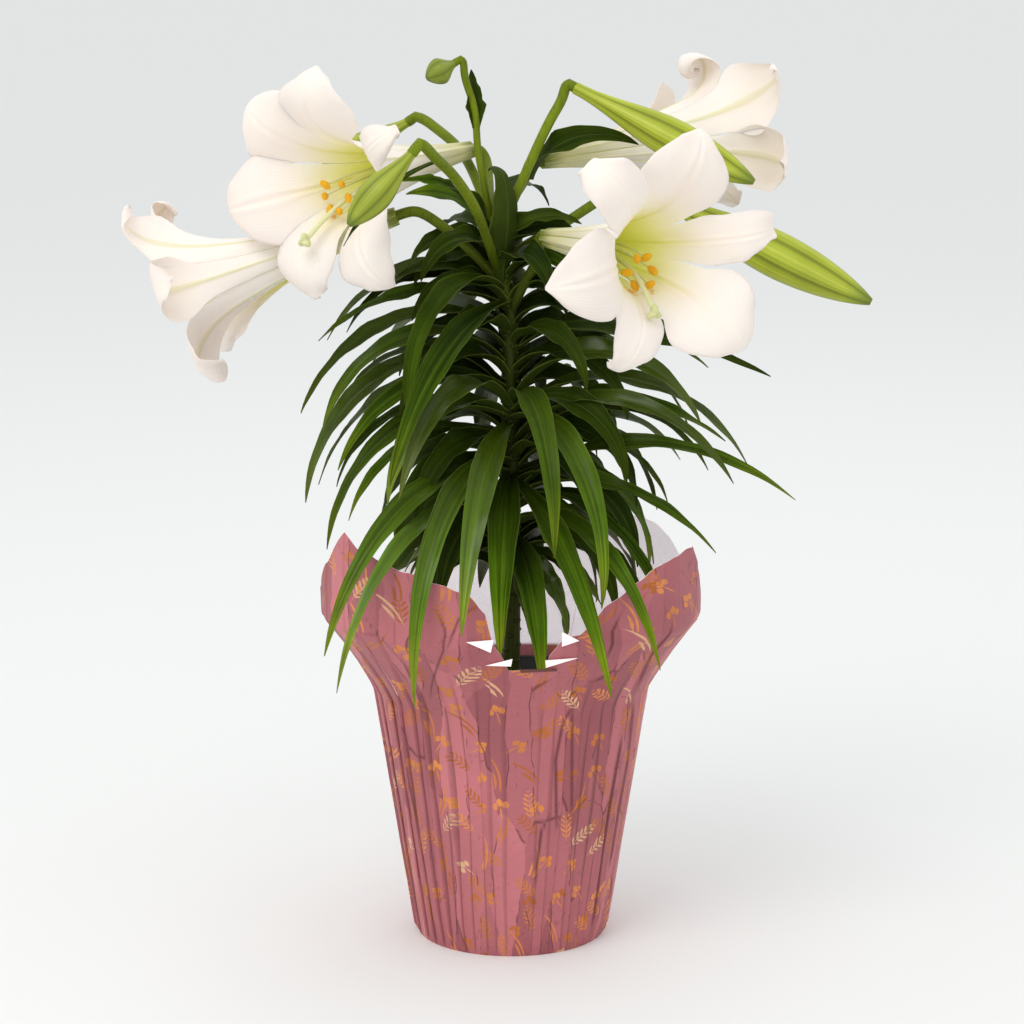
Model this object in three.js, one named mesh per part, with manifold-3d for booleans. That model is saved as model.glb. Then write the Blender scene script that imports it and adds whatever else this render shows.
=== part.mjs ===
// A potted Easter lily: trumpet flowers and buds on one leafy stem, growing from a bulb in a nursery pot
// that stands in a pleated paper cover with a flared rim.
// Millimetres, +Z up. The origin is the centre of the cover's flat base, and the front faces -Y.
// Headings are degrees round the stem, from 0 at the front, growing towards +X.
import * as THREE from "three";
import { mergeVertices } from "three/addons/utils/BufferGeometryUtils.js";
import Module from "manifold-3d";

const wasm = await Module();
wasm.setup();

const TAU = 2 * Math.PI;
const radians = THREE.MathUtils.degToRad;
const lerp = THREE.MathUtils.lerp;
const smooth = (x, low, high) => THREE.MathUtils.smoothstep(x, low, high);
const vec = (x, y, z) => new THREE.Vector3(x, y, z);

// Driving dimensions
const CLEARANCE = 0.3;
const COVER = {
  baseRadius: 60,
  waistRadius: 85,
  waistHeight: 158,
  creaseHeight: 207,
  flare: 33,
  wall: 1,
  pleatDepth: 1.8,
  pleatStep: 0.9,
  tallest: 246,
};
// Headings at which the pleats of the cover start
const PLEATS = [
  -180, -156, -133, -112, -95, -83, -72, -59.5, -51, -43.5, -37, -27.6, -21.2, -13.6, -8.3, -2.7,
  12, 17.5, 22.7, 30.4, 34.8, 41, 46.6, 53, 60.4, 71, 77, 88, 108, 132, 156,
];
// Height of the cover's rim round the pot: two tall sheet corners in front, with a torn notch between them
const RIM = [
  [-180, 222],
  [-150, 228],
  [-122, 212],
  [-95, 207],
  [-89, 215],
  [-72, 245],
  [-59.5, 268],
  [-51, 260],
  [-37, 253],
  [-21.2, 245],
  [-13.6, 239],
  [-8.3, 229],
  [-6, 211],
  [-2.7, 200],
  [-1, 192],
  [12, 192],
  [13, 201],
  [17.5, 213],
  [22.7, 214],
  [30.4, 229],
  [41, 242],
  [53, 252],
  [71, 256],
  [77, 240],
  [88, 212],
  [104, 214],
  [121, 240],
  [134, 250],
  [160, 238],
  [180, 222],
];
const POT = { floorRadius: 56, topRadius: 77.5, height: 156, wall: 1.6, floor: 2, lip: 3, lipHeight: 9 };
const SOIL = { depth: 141, crown: 6, lumps: 1.6 };
const BULB = { bottom: 46, scales: 7 };
const BULB_PROFILE = [
  [14, 2],
  [23, 10],
  [27, 20],
  [24, 31],
  [15, 41],
  [6, 47],
];
const STEM = { foot: 5.6, top: 4, sides: 8 };
const STEM_PATH = [
  vec(0, 0, 94.3),
  vec(0, 0, 150),
  vec(1, 0, 230),
  vec(0, 0, 300),
  vec(-1, 0, 370),
  vec(-1, 0, 398),
  vec(-8, 2, 424),
  vec(-11, 4, 452),
];
const STALK = { radius: 2.8, sides: 6 };
const LEAF = { start: 2.5, bendPower: 0.8, thickness: 0.75, foldAtRoot: 34, foldAtTip: 14, roll: 40 };
const BACK = { count: 62, turn: 137.5, start: -82, from: 112, lowest: 205, highest: 415 };
const SHOWN_ROWS = [0, 0.175, 0.35, 0.55, 0.775, 1];
const BACK_ROWS = [0, 0.2, 0.4, 0.6, 0.8, 1];
const BLOOM = {
  base: 4.2,
  taper: 4.5,
  throat: 17,
  tubeShare: 0.58,
  notch: 0.72,
  innerShare: 0.57,
  wall: 1.4,
  petal: 1,
  innerLength: 178,
  outerLength: 172,
  innerWidth: 27,
  outerWidth: 19.5,
};
// A petal by its angle round the axis from the upper side, its flare past the throat in degrees, how far and
// how late its end curls back, its length and width as shares of most, the sideways hook of its tip, how much
// further one corner of its end reaches, how blunt the end is, and how much it narrows to a strap
const LOBE = { curl: 70, late: 4, length: 1, width: 1, hook: 0, skew: 0, blunt: 0, taper: 0 };
const STAMEN = {
  count: 6,
  foot: 7,
  length: 116,
  style: 138,
  reach: 1,
  radius: 0.9,
  anther: { length: 7.6, width: 4.6, depth: 4.2 },
  spread: 9,
  droop: 8,
  styleDroop: 16,
  sway: 0,
  styleSway: 0,
};

// Meshes and solids

// A closed skin over a row of rings. A ring of one point is a pole. From turnAt on the rings run back along
// the inside, where quads are split the other way, so that both faces of a thin wall crease alike.
function skin(rings, turnAt = Infinity) {
  const points = rings.flat();
  const starts = rings.map((_, k) => rings.slice(0, k).reduce((sum, ring) => sum + ring.length, 0));
  const faces = [];
  for (let k = 0; k + 1 < rings.length; k += 1) {
    const sides = Math.max(rings[k].length, rings[k + 1].length);
    const at = (ring, j) => starts[ring] + (rings[ring].length === 1 ? 0 : j % sides);
    for (let j = 0; j < sides; j += 1) {
      const [a, b, c, d] = [at(k, j), at(k, j + 1), at(k + 1, j + 1), at(k + 1, j)];
      if (a === b) faces.push([a, c, d]);
      else if (c === d) faces.push([a, b, c]);
      else if (k < turnAt) faces.push([a, b, c], [a, c, d]);
      else faces.push([a, b, d], [b, c, d]);
    }
  }
  return { points, faces };
}

// A thin closed blade between two matching grids of points, split into triangles alike on both faces
function blade(upper, lower) {
  const rows = upper.length;
  const across = upper[0].length;
  const faces = [];
  const quad = (a, b, c, d) => faces.push([a, b, c], [a, c, d]);
  const top = (i, j) => i * across + j;
  const under = (i, j) => rows * across + i * across + j;
  for (let i = 0; i + 1 < rows; i += 1) {
    for (let j = 0; j + 1 < across; j += 1) {
      quad(top(i, j), top(i + 1, j), top(i + 1, j + 1), top(i, j + 1));
      quad(under(i, j), under(i, j + 1), under(i + 1, j + 1), under(i + 1, j));
    }
    quad(top(i, 0), under(i, 0), under(i + 1, 0), top(i + 1, 0));
    quad(top(i, across - 1), top(i + 1, across - 1), under(i + 1, across - 1), under(i, across - 1));
  }
  for (let j = 0; j + 1 < across; j += 1) {
    quad(top(0, j), top(0, j + 1), under(0, j + 1), under(0, j));
    quad(top(rows - 1, j), under(rows - 1, j), under(rows - 1, j + 1), top(rows - 1, j + 1));
  }
  return { points: [...upper.flat(), ...lower.flat()], faces };
}

function manifold(vertProperties, corners) {
  const triVerts = new Uint32Array(corners);
  return new wasm.Manifold(new wasm.Mesh({ numProp: 3, vertProperties, triVerts }));
}

function solid({ points, faces }) {
  const vertProperties = new Float32Array(points.flatMap((p) => [p.x, p.y, p.z]));
  return manifold(vertProperties, faces.flat());
}

function solidOf(geometry) {
  const bare = geometry.clone();
  bare.deleteAttribute("normal");
  bare.deleteAttribute("uv");
  const merged = mergeVertices(bare, 1e-3);
  return manifold(merged.attributes.position.array, merged.index.array);
}

function fuse(solids) {
  return solids.reduce((whole, piece) => whole.add(piece));
}

function named(name, shape, finish) {
  const mesh = shape.getMesh();
  const positions = new Float32Array(mesh.numVert * 3);
  for (let i = 0; i < mesh.numVert; i += 1) {
    positions.set(mesh.vertProperties.subarray(i * mesh.numProp, i * mesh.numProp + 3), i * 3);
  }
  const geometry = new THREE.BufferGeometry();
  geometry.setAttribute("position", new THREE.BufferAttribute(positions, 3));
  geometry.setIndex(new THREE.BufferAttribute(mesh.triVerts, 1));
  geometry.computeVertexNormals();
  const made = new THREE.Mesh(geometry, finish);
  made.name = name;
  return made;
}

// Materials
const finish = (color, roughness) => new THREE.MeshStandardMaterial({ color, roughness, metalness: 0 });
const ROSE_PAPER = finish(0xb36a78, 0.55);
const BLACK_PLASTIC = finish(0x1c1f1c, 0.5);
const POTTING_MIX = finish(0x2e211a, 0.95);
const BULB_SCALE = finish(0xe6d9b0, 0.6);
const LEAF_GREEN = finish(0x2f5a1e, 0.4);
const PETAL_WHITE = finish(0xfaf3ea, 0.5);
const STAMEN_GREEN = finish(0xd9dd8a, 0.5);
const BUD_GREEN = finish(0x9dbb45, 0.45);

// Cover

// A value read off a table of [degrees, value] rows
function readOff(table, degrees) {
  const next = Math.max(1, table.findIndex(([at]) => at >= degrees));
  const [[lowAt, low], [highAt, high]] = [table[next - 1], table[next]];
  return lerp(low, high, (degrees - lowAt) / (highAt - lowAt));
}

// Radius of the cover's outer face, before its pleats, at a height and heading
function coverRadius(z, degrees) {
  if (z <= COVER.waistHeight) return lerp(COVER.baseRadius, COVER.waistRadius, z / COVER.waistHeight);
  const rise = (z - COVER.waistHeight) / (COVER.creaseHeight - COVER.waistHeight);
  const frontness = Math.exp(-(((degrees - 6) / 38) ** 2));
  const opening = rise < 1 ? rise ** 1.15 : 1 + 0.06 * (2 - rise) * (rise - 1);
  return COVER.waistRadius + COVER.flare * opening * (1 - 0.42 * frontness);
}

// Headings of the pleats' folds: each pleat is a wide facet that climbs outwards, then a narrow step back in
function pleatFolds() {
  return PLEATS.flatMap((start, j) => {
    const end = j + 1 < PLEATS.length ? PLEATS[j + 1] : 180;
    return [
      [start, -0.5],
      [end - COVER.pleatStep, 0.5],
    ];
  });
}

function coverRing(share, inset, pleated) {
  return pleatFolds().map(([degrees, side], j) => {
    const rim = readOff(RIM, degrees);
    const z = share <= 1 ? share * COVER.waistHeight : lerp(COVER.waistHeight, rim, share - 1);
    const depth = COVER.pleatDepth * (0.7 + 0.6 * draw(j, 6)) * lerp(1, 0.5, smooth(share, 1, 1.5));
    const radius = coverRadius(z, degrees) - inset + pleated * side * depth;
    return vec(radius * Math.sin(radians(degrees)), -radius * Math.cos(radians(degrees)), z);
  });
}

function cover() {
  const shares = [0.02, 1, 1.26, 1.52, 2];
  const outer = shares.map((share) => coverRing(share, 0, 1));
  const inner = [...shares].reverse().map((share) => coverRing(share, COVER.wall, 1));
  const level = (ring, z) => ring.map((p) => p.clone().setZ(z));
  const base = level(coverRing(0, 1.5, 0), 0);
  const floor = level(coverRing(0, 1.5 + COVER.wall, 0), COVER.wall);
  const rings = [[vec(0, 0, 0)], base, ...outer, ...inner, floor, [vec(0, 0, COVER.wall)]];
  return solid(skin(rings, outer.length + 1));
}

// Pot, soil and bulb

const POT_SIDES = 18;
const POT_BASE = COVER.wall + CLEARANCE;
const POT_TOP = POT_BASE + POT.height;
const potWall = (z) => lerp(POT.floorRadius, POT.topRadius, (z - POT_BASE) / POT.height);

// A profile of [radius, height] rows turned about the vertical axis
function turned(profile) {
  const lathe = new THREE.LatheGeometry(profile.map(([r, z]) => new THREE.Vector2(r, z)), POT_SIDES);
  return lathe.rotateX(Math.PI / 2);
}

function nurseryPot() {
  const lipFoot = POT_TOP - POT.lipHeight;
  const inside = (z) => potWall(z) - POT.wall;
  const profile = [
    [0, POT_BASE],
    [POT.floorRadius, POT_BASE],
    [potWall(lipFoot), lipFoot],
    [potWall(lipFoot) + POT.lip, lipFoot],
    [potWall(POT_TOP) + POT.lip, POT_TOP],
    [inside(POT_TOP), POT_TOP],
    [inside(POT_BASE + POT.floor), POT_BASE + POT.floor],
    [0, POT_BASE + POT.floor],
  ];
  const drains = Array.from({ length: 5 }, (_, k) => {
    const angle = (TAU * (k + 0.5)) / 5;
    const drill = new THREE.CylinderGeometry(4.5, 4.5, 4 * POT.floor, 8).rotateX(Math.PI / 2);
    return solidOf(drill.translate(40 * Math.cos(angle), 40 * Math.sin(angle), POT_BASE + POT.floor / 2));
  });
  return drains.reduce((pot, drain) => pot.subtract(drain), solidOf(turned(profile)));
}

// The soil, with a lumpy crown, a hole up which the stem comes, and the hollow the bulb lies in
function soil() {
  const base = POT_BASE + POT.floor + CLEARANCE;
  const fit = (z) => potWall(z) - POT.wall - CLEARANCE;
  const hole = STEM.foot + 0.6;
  const hollow = BULB_PROFILE.map(([r, z]) => [r * 1.06 + 1, BULB.bottom + z]);
  const profile = [
    [0, base],
    [fit(base), base],
    [fit(SOIL.depth), SOIL.depth],
    [48, SOIL.depth + SOIL.crown * 0.4],
    [22, SOIL.depth + SOIL.crown],
    [hole, SOIL.depth + SOIL.crown],
    ...hollow.reverse(),
    [0, BULB.bottom - 1],
  ];
  const geometry = turned(profile);
  const position = geometry.attributes.position;
  for (let i = 0; i < position.count; i += 1) {
    const [x, y, z] = [position.getX(i), position.getY(i), position.getZ(i)];
    const lump = SOIL.lumps * Math.sin(x * 0.21 + 1) * Math.cos(y * 0.17);
    if (z > SOIL.depth && Math.hypot(x, y) > 2 * hole) position.setZ(i, z + lump);
  }
  return solidOf(geometry);
}

function bulb() {
  const sides = 2 * BULB.scales;
  const rings = BULB_PROFILE.map(([r, z]) =>
    Array.from({ length: sides }, (_, j) => {
      const angle = (TAU * j) / sides;
      const radius = r * (j % 2 === 0 ? 1 : 0.9);
      return vec(radius * Math.cos(angle), radius * Math.sin(angle), BULB.bottom + z);
    }),
  );
  const top = STEM_PATH[0].z - CLEARANCE;
  return solid(skin([[vec(0, 0, BULB.bottom)], ...rings, [vec(0, 0, top)]]));
}

// Stem and stalks

// A round stalk along a smooth path, from one radius to another
function stalk(path, fromRadius, toRadius, sides, steps) {
  const curve = new THREE.CatmullRomCurve3(path, false, "centripetal");
  const frames = curve.computeFrenetFrames(steps);
  const ring = (centre, normal, binormal, radius) =>
    Array.from({ length: sides }, (_, j) => {
      const angle = (TAU * j) / sides;
      return centre
        .clone()
        .addScaledVector(normal, radius * Math.cos(angle))
        .addScaledVector(binormal, radius * Math.sin(angle));
    });
  const rings = Array.from({ length: steps + 1 }, (_, k) => {
    const radius = lerp(fromRadius, toRadius, k / steps);
    return ring(curve.getPointAt(k / steps), frames.normals[k], frames.binormals[k], radius);
  });
  return solid(skin([[path[0]], ...rings, [path[path.length - 1]]]));
}

// The stem's axis at a height
function stemAt(z) {
  const next = STEM_PATH.findIndex((p) => p.z >= z);
  const [low, high] = [STEM_PATH[next - 1], STEM_PATH[next]];
  return low.clone().lerp(high, (z - low.z) / (high.z - low.z));
}

// Leaves

// A repeatable draw from 0 to 1
const draw = (index, salt) => {
  const x = Math.sin(index * 127.1 + salt * 311.7) * 43758.5453;
  return x - Math.floor(x);
};

// Half the blade's width, as a share of its widest, along its length
function leafOutline(u) {
  if (u < 0.38) return 0.4 + 0.6 * smooth(u, -0.05, 0.38);
  return Math.max(0.08, ((1 - u) / 0.62) ** 0.75);
}

// A leaf's midrib as a bow in an upright plane, from its root to its tip: how far out and up each share of
// its length lies, and its slope there
function leafBow({ root, reach, tip, bend, late = LEAF.bendPower }) {
  const steps = 40;
  const turned = (u) => -radians(bend) * u ** late;
  const walk = [[0, 0]];
  for (let k = 0; k < steps; k += 1) {
    const angle = turned((k + 0.5) / steps);
    walk.push([walk[k][0] + Math.cos(angle), walk[k][1] + Math.sin(angle)]);
  }
  const [endOut, endUp] = walk[steps];
  const scale = Math.hypot(reach, tip - root) / Math.hypot(endOut, endUp);
  const rise = Math.atan2(tip - root, reach) - Math.atan2(endUp, endOut);
  return (u) => {
    const [x, y] = walk[Math.round(u * steps)];
    return {
      outward: scale * (x * Math.cos(rise) - y * Math.sin(rise)),
      upward: scale * (x * Math.sin(rise) + y * Math.cos(rise)),
      slope: rise + turned(u),
    };
  };
}

// A leaf's blade, folded along its midrib, and rolled so that its upper face leans towards the front
function leafBlade(leaf, rows, columns) {
  const bow = leafBow(leaf);
  const foot = leaf.foot ?? stemAt(leaf.root);
  const away = vec(Math.sin(radians(leaf.heading)), -Math.cos(radians(leaf.heading)), 0);
  const face = (thickness) =>
    rows.map((u) => {
      const { outward, upward, slope } = bow(u);
      const centre = foot.clone().addScaledVector(away, outward + LEAF.start);
      centre.z += upward;
      const along = away.clone().multiplyScalar(Math.cos(slope)).setZ(Math.sin(slope));
      const up = away.clone().multiplyScalar(-Math.sin(slope)).setZ(Math.cos(slope));
      up.applyAxisAngle(along, radians(leaf.roll) * smooth(u, 0.05, 0.5));
      const side = up.clone().cross(along);
      const half = leaf.width * leafOutline(u);
      const fold = radians(lerp(LEAF.foldAtRoot, LEAF.foldAtTip, u));
      return columns.map((t) =>
        centre
          .clone()
          .addScaledVector(side, half * t * Math.cos(fold))
          .addScaledVector(up, half * Math.abs(t) * Math.sin(fold) - thickness),
      );
    });
  return solid(blade(face(0), face(LEAF.thickness)));
}

const asLeaf = ([heading, root, reach, tip, bend, width]) => {
  const roll = LEAF.roll * Math.sin(radians(heading));
  return { heading, root, reach, tip, bend, width, roll };
};

// Leaves that show singly, each from its heading, root height, reach, tip height, bend and half width
const LEFT_LEAVES = [
  [-39, 407, 80, 322, 161, 8],
  [-31, 399, 132, 308, 67, 10.5],
  [-89, 383, 126, 331, 104, 7.5],
  [-102, 398, 119, 372, 72, 6.5],
  [-112, 400, 107, 375, 109, 8],
  [-76, 361, 115, 323, 136, 7.5],
  [-82, 361, 124, 278, 115, 9],
  [-65, 346, 112, 304, 107, 8],
  [-65, 328, 120, 256, 117, 7.5],
  [-44, 294, 156, 205, 95, 9],
  [-79, 315, 99, 267, 108, 6],
  [-38, 269, 164, 187, 110, 6.5],
  [-26, 301, 127, 175, 123, 9],
  [-13, 324, 125, 219, 78, 10.5],
  [-5, 293, 74, 193, 100, 11],
  [-29, 334, 131, 300, 119, 9.5],
  [-53, 329, 90, 284, 135, 9.5],
  [-75, 312, 70, 244, 111, 9],
  [-83, 302, 59, 260, 106, 7],
  [-102, 233, 64, 223, 143, 6],
  [-95, 295, 85, 242, 93, 7],
  [-94, 318, 106, 283, 131, 6],
  [-114, 341, 113, 330, 125, 7],
];
const RIGHT_LEAVES = [
  [78, 379, 159, 359, 40, 9],
  [73, 334, 118, 331, 141, 11],
  [106, 369, 138, 359, 80, 7.5],
  [102, 351, 124, 355, 99, 6],
  [93, 331, 146, 295, 111, 7.5],
  [66, 312, 144, 298, 119, 7.5],
  [74, 281, 176, 286, 87, 7],
  [100, 327, 134, 309, 69, 8.5],
  [111, 304, 112, 294, 117, 7],
  [102, 306, 124, 290, 126, 6],
  [95, 295, 96, 271, 136, 5.5],
  [121, 298, 82, 277, 152, 5.5],
  [67, 280, 132, 254, 81, 6],
  [100, 288, 85, 227, 138, 7],
  [125, 275, 94, 227, 124, 7],
  [31, 327, 103, 228, 131, 9.5],
  [14, 338, 105, 262, 139, 9.5],
  [23, 289, 148, 186, 53, 9],
  [12, 252, 84, 175, 89, 10],
  [38, 264, 140, 196, 100, 7.5],
  [66, 280, 102, 194, 106, 5.5],
  [62, 275, 62, 220, 116, 7.5],
  [87, 235, 30, 184, 93, 6],
  [115, 245, 60, 203, 61, 6.5],
];
const TOP_LEAVES = [
  [-75, 432, 54, 467, 103, 11],
  [146, 448, 59, 453, 140, 8],
  [84, 427, 49, 448, 120, 8],
  [72, 412, 47, 411, 150, 9],
  [-93, 402, 66, 414, 100, 9],
  [-79, 425, 53, 421, 147, 9],
  [98, 402, 34, 388, 156, 8],
  [138, 386, 84, 367, 102, 9],
];

// Leaves on the far side, set round the stem in a spiral.
// Those that hang below the cover's rim stay inside it.
function backLeaves() {
  const leaves = [];
  for (let k = 0; k < BACK.count; k += 1) {
    const height = (k + 0.5) / BACK.count;
    const heading = ((((k * BACK.turn + BACK.start) % 360) + 540) % 360) - 180;
    if (Math.abs(heading) < BACK.from) continue;
    const root = lerp(BACK.lowest, BACK.highest, height);
    const fall = lerp(6, 62, smooth(height, 0.05, 0.4)) - 30 * smooth(height, 0.6, 1) + 10 * draw(k, 2);
    const tip = root - fall;
    const most = tip < COVER.tallest ? COVER.waistRadius + 13 : 150;
    const reach = lerp(84, 130, smooth(height, 0.05, 0.45)) - 18 * smooth(height, 0.7, 1) + 10 * draw(k, 1);
    const width = lerp(8.5, 11, draw(k, 3));
    leaves.push([heading, root, Math.min(most, reach), tip, lerp(118, 92, height), width]);
  }
  return leaves;
}

// Leaves with a foot and a roll of their own: small ones on the stalks, and one that stands up before them
const BRACTS = [
  { foot: vec(10, 18, 473), heading: 82, reach: 66, tip: 495, bend: 105, width: 8.5, roll: 72 },
  { foot: vec(-20.5, -6.5, 506), heading: -155, reach: 6, tip: 541, bend: 10, width: 7, roll: 0 },
  { foot: vec(-41, -87, 494), heading: -77, reach: 55, tip: 446, bend: 43, width: 3, roll: -39 },
  { foot: vec(-25.5, -56, 470), heading: -78, reach: 39, tip: 480, bend: 60, width: 4, roll: -60 },
  { foot: vec(-7, -2, 413), heading: 30, reach: -16, tip: 479, bend: -150, width: 11.5, roll: 0, late: 4 },
];

// Flowers

// Lean of a petal's midrib away from the flower's axis, in degrees, at a share of its length
function petalLean(petal, u) {
  if (u < BLOOM.tubeShare) return lerp(BLOOM.taper, BLOOM.throat, (u / BLOOM.tubeShare) ** 1.7);
  const w = (u - BLOOM.tubeShare) / (1 - BLOOM.tubeShare);
  return BLOOM.throat + petal.flare * w ** 1.2 + petal.curl * w ** petal.late;
}

// Radius, height and lean of a petal's midrib, walked from the flower's base
function petalWalk(petal) {
  const steps = 100;
  const stride = petal.length / steps;
  const walk = [{ r: BLOOM.base, z: 0, lean: radians(petalLean(petal, 0)) }];
  for (let k = 1; k <= steps; k += 1) {
    const { r, z } = walk[k - 1];
    const mean = radians(petalLean(petal, (k - 0.5) / steps));
    const lean = radians(petalLean(petal, k / steps));
    walk.push({ r: r + stride * Math.sin(mean), z: z + stride * Math.cos(mean), lean });
  }
  return (u) => walk[Math.round(u * steps)];
}

// Half a petal's width past the throat, as a share of its widest
function petalOutline(petal, u) {
  const past = Math.min(1, Math.max(0, (u - 0.8) / 0.2));
  const strap = 1 - petal.taper * smooth(u, 0.72, 0.95);
  return strap * Math.max(lerp(0.2, 0.75, petal.blunt), (1 - past ** 2.1) ** 0.72);
}

// A point on a petal: u along it, t across it from -1 to 1, and how far outside its inner face.
// The petals share the throat out between them up to the notches, and stand free of each other from there on.
function petalPoint(petal, u, t, outside) {
  const { r, z, lean } = petal.walk(u);
  const share = r * radians(t < 0 ? petal.leftShare : petal.rightShare);
  const opened = smooth(u, BLOOM.notch - 0.04, BLOOM.notch + 0.08);
  const free = lerp(share, petal.halfWidth * petalOutline(petal, u), opened);
  const curve = lerp(1 / r, petal.cup, smooth(u, 0.5, 0.8));
  const reach = t * free;
  const ending = smooth(u, 0.74, 1) ** 1.4;
  const sideways = Math.sin(curve * reach) / curve + petal.hook * ending;
  const depth = outside - (1 - Math.cos(curve * reach)) / curve;
  const further = petal.skew * t * ending;
  const radial = r + depth * Math.cos(lean) + further * Math.sin(lean);
  const angle = radians(petal.angle);
  return vec(
    radial * Math.cos(angle) - sideways * Math.sin(angle),
    radial * Math.sin(angle) + sideways * Math.cos(angle),
    z - depth * Math.sin(lean) + further * Math.cos(lean),
  );
}

// Six petals in order round the axis: wide inner ones take turns with narrow outer ones
function bloomPetals(bloom) {
  const lobes = bloom.petals.map((lobe) => ({ ...LOBE, ...lobe }));
  return lobes.map((lobe, k) => {
    const inner = k % 2 === 0;
    const gap = (other) => ((((other.angle - lobe.angle) % 360) + 540) % 360) - 180;
    const part = inner ? BLOOM.innerShare : 1 - BLOOM.innerShare;
    const petal = {
      ...lobe,
      length: (inner ? BLOOM.innerLength : BLOOM.outerLength) * lobe.length,
      halfWidth: (inner ? BLOOM.innerWidth : BLOOM.outerWidth) * lobe.width,
      cup: inner ? -0.008 : -0.014,
      leftShare: -gap(lobes[(k + 5) % 6]) * part,
      rightShare: gap(lobes[(k + 1) % 6]) * part,
      columns: inner ? [-1, -0.5, 0, 0.5] : [-1, 0],
      rows: lobe.curl > 140 ? CURLED_ROWS : PETAL_ROWS,
    };
    return { ...petal, walk: petalWalk(petal) };
  });
}

const FUNNEL_ROWS = [0, 0.28, 0.48, 0.62, 0.72];
const PETAL_ROWS = [0.8, 0.87, 0.94, 1];
const CURLED_ROWS = [0.75, 0.78, 0.81, 0.84, 0.87, 0.9, 0.94, 1];

// The petals as one closed skin: an outer and an inner sheet, joined along the rim round their free ends
function trumpetSkin(petals) {
  const points = [];
  const faces = [];
  const put = (point) => points.push(point) - 1;
  const band = (low, high, flip) => {
    for (let j = 0; j + 1 < low.length; j += 1) {
      const [a, b, c, d] = [low[j], low[j + 1], high[j + 1], high[j]];
      if (flip) faces.push([a, c, b], [a, d, c]);
      else faces.push([a, b, c], [a, c, d]);
    }
  };
  const sheets = [true, false].map((outer) => {
    const outside = (u) => (outer ? lerp(BLOOM.wall, BLOOM.petal, smooth(u, 0.3, 0.7)) : 0);
    const at = (k, u, t) => petalPoint(petals[(k + 6) % 6], u, t, outside(u));
    const seam = (k, u) => at(k, u, -1).lerp(at(k - 1, u, 1), 0.5);
    const funnel = FUNNEL_ROWS.map((u) =>
      petals.map((petal, k) => petal.columns.map((t) => put(t === -1 ? seam(k, u) : at(k, u, t)))),
    );
    const last = funnel[funnel.length - 1];
    const lobes = petals.map((petal, k) => [
      [...last[k], last[(k + 1) % 6][0]],
      ...petal.rows.map((u) => [...petal.columns, 1].map((t) => put(at(k, u, t)))),
    ]);
    const foot = put(vec(0, 0, outer ? 0 : BLOOM.wall));
    const rings = funnel.map((row) => [...row.flat(), row[0][0]]);
    if (!outer) rings[0].slice(1).forEach((index) => (points[index].z += BLOOM.wall));
    rings.slice(1).forEach((ring, i) => band(rings[i], ring, !outer));
    for (const lobe of lobes) lobe.slice(1).forEach((row, i) => band(lobe[i], row, !outer));
    for (let j = 0; j + 1 < rings[0].length; j += 1) {
      faces.push(outer ? [foot, rings[0][j + 1], rings[0][j]] : [foot, rings[0][j], rings[0][j + 1]]);
    }
    return lobes;
  });
  petals.forEach((_, k) => {
    const rim = sheets.map((lobes) => {
      const lobe = lobes[k];
      const end = lobe[lobe.length - 1];
      const left = lobe.map((row) => row[0]);
      const right = lobe.map((row) => row[row.length - 1]);
      return [...left, ...end.slice(1, -1), ...right.reverse()];
    });
    band(rim[0], rim[1], false);
  });
  return { points, faces };
}

// The frame of a flower: the side of it that faces up, its other side, and the way it opens, from its base
function bloomMatrix(bloom) {
  const axis = bloom.axis.clone().normalize();
  const up = vec(0, 0, 1).addScaledVector(axis, -axis.z).normalize();
  return new THREE.Matrix4().makeBasis(up, axis.clone().cross(up), axis).setPosition(bloom.base);
}

const placed = (shape, matrix) => shape.transform(matrix.elements);

function trumpet(bloom) {
  return placed(solid(trumpetSkin(bloomPetals(bloom))), bloomMatrix(bloom));
}

// A straight-sided rod through a row of points, with rings square to the flower's axis
function rod(points, radius, sides) {
  const ring = (p) =>
    Array.from({ length: sides }, (_, j) => {
      const angle = (TAU * j) / sides;
      return vec(p.x + radius * Math.cos(angle), p.y + radius * Math.sin(angle), p.z);
    });
  return solid(skin([[points[0]], ...points.map(ring), [points[points.length - 1]]]));
}

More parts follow.
